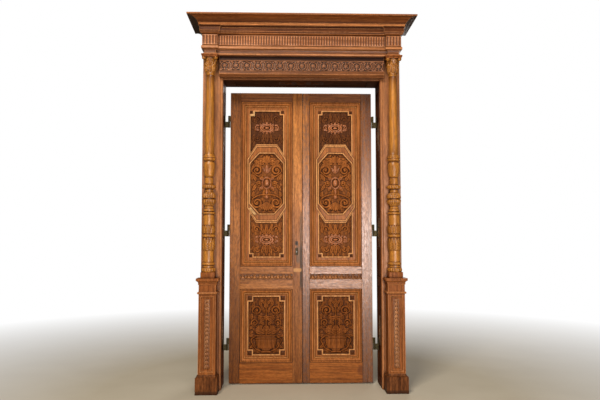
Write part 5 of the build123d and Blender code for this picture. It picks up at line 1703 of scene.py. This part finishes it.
def column(side):
    node = f"{side}_column"
    centre, half = middle(node)
    foot = centre.z - half.z + COLUMN_FOOT_LIFT
    carved_top = TURNING[-4][0]
    fine = np.arange(0, carved_top, COLUMN_STEP)
    levels = np.concatenate([fine, np.linspace(carved_top, TURNING[-3][0], SHAFT_ROWS), NECK_LEVELS])
    angles = np.linspace(-np.pi, np.pi, AROUND + 1)
    field = Relief(angles * MEAN_RADIUS, levels)
    column_carving(field)
    radius = turned_radius(levels)[:, None] + CARVING_SHARE * field.h
    for low, high, lobes, depth in GADROONS:
        rise = np.clip(np.minimum(levels - low, high - levels) / GADROON_RISE, 0, 1)[:, None]
        radius = radius - rise * depth * (1 - np.abs(np.cos(lobes / 2 * angles)) ** 0.6)[None, :]
    round_x, round_y = radius * np.sin(angles), -radius * np.cos(angles)
    points = np.stack([centre.x + round_x, COLUMN_AXIS_Y + round_y, foot + field.v], axis=-1)
    points[:, -1] = points[:, 0]
    # Painted shade: the hollow attribute darkens the low places, the grooves between the turned rings and the
    # carved ground.
    low_places = np.clip((blurred(radius, 2) - radius) / 1.6, 0, 1)
    turned = np.repeat(turned_radius(levels)[:, None], AROUND + 1, 1)
    rings = np.clip((blurred(turned, 5) - turned) / 3.0, 0, 1)
    carved = sum((levels > low) & (levels < high) for low, high in CARVED_ZONES)[:, None]
    ground = carved * np.exp(-field.h / 1.8)
    hollow = np.clip(0.9 * low_places + 0.9 * rings + 0.85 * ground, 0, 0.95)
    shaft = carved_piece(f"{side}_column_shaft", points, hollow, None, column_oak, closed_round=True)
    square = half.x
    shape = [(-square, 0), (square, 0), (square, COLUMN_FOOT_LIFT), (-square, COLUMN_FOOT_LIFT)]
    depth = COLUMN_AXIS_Y - COLUMN_BLOCK_HALF, COLUMN_AXIS_Y + COLUMN_BLOCK_HALF
    block = plate("block", shape, *depth, centre.x, foot - COLUMN_FOOT_LIFT)
    block.data.materials.append(frame_upright)
    soften(block, COLUMN_BLOCK_EDGE, 3)
    piece = join(f"{side}_column_turned", [shaft, block])
    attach(piece, "frame")
    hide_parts(node)
    return piece


columns = [column(side) for side in SIDES]
print("columns:", [(piece.name, len(piece.data.polygons)) for piece in columns])

# %% [markdown]
# ## Capitals
# Two rings of leaves wrap a flaring bell, and a volute stands under each front corner of the square top.
# The bell is wrapped and carved like the column; the volutes are drums stepped in towards their eyes.

# %% carve the capitals
BELL_LEVELS = [0, 8, 14, 40, 95, 129]
BELL_RADII = [33, 36, 33, 36, 43, 51]
ABACUS_HEIGHT = 24
BELL_ROWS = 62
BELL_COLUMNS = 121
BELL_LEAVES = 8
VOLUTE_RADIUS = 13
VOLUTE_REACH = 66
VOLUTE_LENGTH = 18
VOLUTE_SIDES = 36
VOLUTE_STEP = 2.4
VOLUTE_RISES = (2.6, -2.6, 1.8, 0.0)
VOLUTE_EDGE = 0.6
SLAB_INSET = 5
SLAB_EDGE = 2


def volute(x, y, z, angle):
    """A drum that lies across a corner, stepped in to its eye on both faces."""
    across = math.pi / 2 + angle
    bpy.ops.object.select_all(action="DESELECT")
    bpy.ops.mesh.primitive_cylinder_add(
        vertices=VOLUTE_SIDES, radius=VOLUTE_RADIUS * MM, depth=VOLUTE_LENGTH * MM, end_fill_type="NGON",
        location=Vector((x, y, z)) * MM, rotation=(math.pi / 2, 0, across + math.pi / 2),
    )
    drum = bpy.context.object
    bpy.ops.object.transform_apply(location=True, rotation=True, scale=True)
    bpy.ops.object.mode_set(mode="EDIT")
    bpy.ops.mesh.select_mode(type="FACE")
    bpy.ops.mesh.select_all(action="DESELECT")
    bpy.ops.mesh.select_face_by_sides(number=VOLUTE_SIDES)
    for rise in VOLUTE_RISES:
        bpy.ops.mesh.inset(thickness=VOLUTE_STEP * MM, depth=rise * MM, use_individual=True)
    bpy.ops.object.mode_set(mode="OBJECT")
    drum.data.materials.append(column_oak)
    return soften(drum, VOLUTE_EDGE)


def capital(side):
    node = f"{side}_capital"
    centre, half = middle(node)
    foot, top = centre.z - half.z, centre.z + half.z
    levels = np.linspace(0, 2 * half.z - ABACUS_HEIGHT, BELL_ROWS)
    angles = np.linspace(-np.pi, np.pi, BELL_COLUMNS)
    field = Relief(angles * MEAN_RADIUS, levels)
    leaf_ring(field, BELL_LEAVES, 14, 62, 36, 12, lobes=3)
    leaf_ring(field, BELL_LEAVES, 30, 82, 34, 10, half_step=True, lobes=4)
    pitch = TAU * MEAN_RADIUS / BELL_LEAVES
    for index in range(-5, 6):
        field.oval(index * pitch, 70, 9, 6, 13)
        field.oval((index + 0.5) * pitch, 106, 9, 6, 12)
        field.oval((index + 0.5) * pitch, 118, 14, 5, 4)
    radius = np.interp(levels, BELL_LEVELS, BELL_RADII)[:, None] + field.h
    round_x, round_y = radius * np.sin(angles), -radius * np.cos(angles)
    points = np.stack([centre.x + round_x, COLUMN_AXIS_Y + round_y, foot + field.v], axis=-1)
    points[:, -1] = points[:, 0]
    hollow = np.clip(0.8 * hollowness(field.h, 12, 2), 0, 0.85)
    bell = carved_piece("bell", points, hollow, None, column_oak, closed_round=True)
    pieces = [bell]
    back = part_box(f"{side}_jamb")[0].y / MM
    for low, high, inset in ((ABACUS_HEIGHT, ABACUS_HEIGHT / 2, SLAB_INSET), (ABACUS_HEIGHT / 2, 0, 0)):
        reach = half.x - inset
        shape = [(-reach, -low), (reach, -low), (reach, -high), (-reach, -high)]
        slab = plate("slab", shape, COLUMN_AXIS_Y - reach, back, centre.x, top)
        slab.data.materials.append(frame_upright)
        pieces.append(soften(slab, SLAB_EDGE))
    for angle in (-3 * math.pi / 4, -math.pi / 4):
        place = centre.x + VOLUTE_REACH * math.cos(angle), COLUMN_AXIS_Y + VOLUTE_REACH * math.sin(angle)
        pieces.append(volute(*place, top - ABACUS_HEIGHT - VOLUTE_RADIUS / 2, angle))
    piece = join(f"{side}_capital_carved", pieces)
    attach(piece, "frame")
    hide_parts(node)
    return piece


capitals = [capital(side) for side in SIDES]
print("capitals:", [(piece.name, len(piece.data.polygons)) for piece in capitals])

# %% [markdown]
# ## Reveals and soffit
# The lining of the doorway has three panels on each side and one overhead, each with a strapwork cartouche.
# They are seen at a steep angle, where only a true relief catches the light,
# so they are carved like the leaves.

# %% carve the lining
REVEAL_PANELS = 3
REVEAL_PANEL_HEIGHT = 735.7
REVEAL_BOARD_HALF = 367.8
LINING_RELIEF = 6
LINING_LIFT = 0.3
LINING_TUCK = 1
REVEAL_CARVING = {"wide": 86, "tall": 244, "long_way": 118}
SOFFIT_CARVING = {"wide": 96, "tall": 380, "long_way": 186}


def strapwork(wide, tall, long_way):
    """An oval boss in straps and volutes; long_way is half the length of the cartouche."""
    field = Relief(evenly(wide, 2.0), evenly(tall, 2.2))
    field.ring(0, 0, 24, 34, 7, 5)
    field.oval(0, 0, 13, 22, LINING_RELIEF)
    for up in (-1, 1):
        field.both("scroll", 20, up * long_way * 0.5, 16, 8, 5, turn=up * 60, laps=1.2, sense=up)
        field.both("leaf", 24, up * 16, 40, 16, 5, turn=up * 62)
        field.leaf(0, up * long_way * 0.45, long_way * 0.5, 26, 5, turn=up * 90)
        field.both("leaf", 4, up * long_way * 0.55, 34, 14, 4, turn=up * 54)
    field.h[[0, -1], :] = -LINING_TUCK
    field.h[:, [0, -1]] = -LINING_TUCK
    return field


def reveal(side):
    node = f"{side}_reveal_panels"
    centre, half = middle(node)
    way = SIDES[side]
    face = abs(centre.x) - half.x + LINING_RELIEF
    back = abs(centre.x) + half.x
    low, high = centre.z - half.z, centre.z + half.z
    pitch = (high - low - REVEAL_PANEL_HEIGHT) / (REVEAL_PANELS - 1)
    ends = -REVEAL_BOARD_HALF, REVEAL_BOARD_HALF
    pieces = []
    field = strapwork(**REVEAL_CARVING)
    h = field.h
    for index in range(REVEAL_PANELS):
        z = low + REVEAL_PANEL_HEIGHT / 2 + index * pitch
        wide = sorted((way * face, way * back))
        shape = [(wide[0], ends[0]), (wide[1], ends[0]), (wide[1], ends[1]), (wide[0], ends[1])]
        board = plate("board", shape, centre.y - half.y, centre.y + half.y, 0, z)
        board.data.materials.append(reveal_oak)
        points = np.stack([way * (face - LINING_LIFT - h), centre.y - way * field.u, z + field.v], axis=-1)
        behind = (way * (face + BACK_GAP), centre.y, z)
        carving = carved_piece("carving", points, hollowness(h, 5, 3), behind, reveal_carved)
        pieces += [board, carving]
    piece = join(f"{side}_reveal_carved", pieces)
    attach(piece, "frame")
    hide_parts(node)
    return piece


def soffit():
    centre, half = middle("soffit_panel")
    face = centre.z - half.z + LINING_RELIEF
    shape = [(-half.x, face), (half.x, face), (half.x, centre.z + half.z), (-half.x, centre.z + half.z)]
    board = plate("board", shape, centre.y - half.y, centre.y + half.y, centre.x, 0)
    board.data.materials.append(soffit_oak)
    field = strapwork(**SOFFIT_CARVING)
    h = field.h
    points = np.stack([centre.x + field.v, centre.y + field.u, face - LINING_LIFT - h], axis=-1)
    behind = (centre.x, centre.y, face + BACK_GAP)
    carving = carved_piece("carving", points, hollowness(h, 5, 3), behind, soffit_carved)
    piece = join("soffit_carved", [board, carving])
    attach(piece, "frame")
    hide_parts("soffit_panel")
    return piece


# Paler than the reveal boards, partly a painted highlight for the glints on the carving.
reveal_carved = oak(
    "oak_reveal_carved", (0.40, 0.24, 0.13), (0.22, 0.11, 0.05), "upright", (0.2, 0.8, 0.1), 0.28,
    (0.05, 0.017, 0.006), shine=0.5,
)
soffit_carved = oak(
    "oak_soffit_carved", REVEAL_SHADE_PALE, REVEAL_SHADE_DEEP, "across", (0.2, 0.8, 0.4), 0.4, (0.02, 0.007, 0.002)
)
linings = [reveal(side) for side in SIDES] + [soffit()]
print("linings:", [(piece.name, len(piece.data.polygons)) for piece in linings])

# %% [markdown]
# ## Meeting lip and repairs
# A thin lip on the left leaf covers the joint between the leaves, so that no light shows through it.
# Two slips of paler wood show where a fillet was once made good; they are small plates set in its place.
# The handle is lost, and the hole that it leaves shows the follower of the lock, with its square socket.

# %% close the joint and set in the repairs
LIP_PLAY = 0.8
LIP_LAP = 0.4
LIP_SINK = 1
LIP_DEPTH = 9
SLIP_RISE = 0.6
SLIP_SINK = 1
SLIP_EDGE = 1.0
OCTAGON_RISE = 10
NEW_PALE, NEW_DEEP = (0.68, 0.40, 0.17), (0.50, 0.27, 0.10)

new_oak = oak("oak_repair", NEW_PALE, NEW_DEEP, "across", (0.1, 0.5, 0.4), 0.5)
left_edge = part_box("left_meeting_stile")[1].x / MM
right_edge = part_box("right_meeting_stile")[0].x / MM
low, high = (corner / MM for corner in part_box("left_meeting_stile"))
lip_low = (left_edge - LIP_LAP, low.y + LIP_SINK, low.z)
lip_high = (right_edge - LIP_PLAY, low.y + LIP_DEPTH, high.z)
# The lip is near-black: painted shade in the joint.
lip = box_plate("meeting_lip", lip_low, lip_high, groove_oak)
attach(lip, "left_leaf")

centre, half = middle("left_upper_panel")
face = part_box("left_upper_moulding")[1].y / MM
top = half.z - MOULDING_WIDTH - UPPER_MARGIN
notch_x, notch_z = FIELD_HALF_WIDTH - CORNER_NOTCH, top - CORNER_NOTCH
corner_slip = [(-34, -10), (6, -10), (6, 30), (-8, 30), (-8, 8), (-34, 8)]
corner_slip = [(-notch_x + u, notch_z + v) for u, v in corner_slip]
fillet_slip = [(-150, -212), (-104, -268), (-84, -262), (-132, -200)]
slips = []
for outline, rise in ((corner_slip, FILLET_RISE), (fillet_slip, OCTAGON_RISE)):
    slip = plate("slip", outline, face - rise - SLIP_RISE, face + SLIP_SINK, centre.x, centre.z)
    slip.data.materials.append(new_oak)
    slips.append(soften(slip, SLIP_EDGE))
slip = join("left_panel_repairs", slips)
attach(slip, "left_leaf")
print("lip", lip.name, "and repairs", slip.name)

# %% fit the follower of the lock
FOLLOWER_RADIUS = 9
FOLLOWER_LENGTH = 13
FOLLOWER_SIDES = 32
FOLLOWER_EDGE = 0.4
SOCKET_OVERCUT = 1
SPINDLE_SQUARE = 5

case_centre, _ = middle("lock_case")
latch_centre, _ = middle("latch_bolt")
bpy.ops.object.select_all(action="DESELECT")
bpy.ops.mesh.primitive_cylinder_add(
    vertices=FOLLOWER_SIDES, radius=FOLLOWER_RADIUS * MM, depth=FOLLOWER_LENGTH * MM,
    rotation=(math.pi / 2, 0, 0),
    location=Vector((left_edge - SPINDLE_INSET, case_centre.y, latch_centre.z)) * MM,
)
follower = bpy.context.object
follower.name = "lock_follower"
bpy.ops.object.transform_apply(location=True, rotation=True, scale=True)
half = SPINDLE_SQUARE / 2
square = [(-half, -half), (half, -half), (half, half), (-half, half)]
front = case_centre.y - FOLLOWER_LENGTH / 2
socket_end = front + FOLLOWER_LENGTH / 2
spindle_x = left_edge - SPINDLE_INSET
socket = plate("socket", square, front - SOCKET_OVERCUT, socket_end, spindle_x, latch_centre.z)
cut(follower, socket)
follower.data.materials.append(grimy_brass)
soften(follower, FOLLOWER_EDGE)
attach(follower, "left_leaf")
print("follower", follower.name, len(follower.data.polygons), "faces")

# %% [markdown]
# Nothing modelled here may stand outside the joinery's own box.
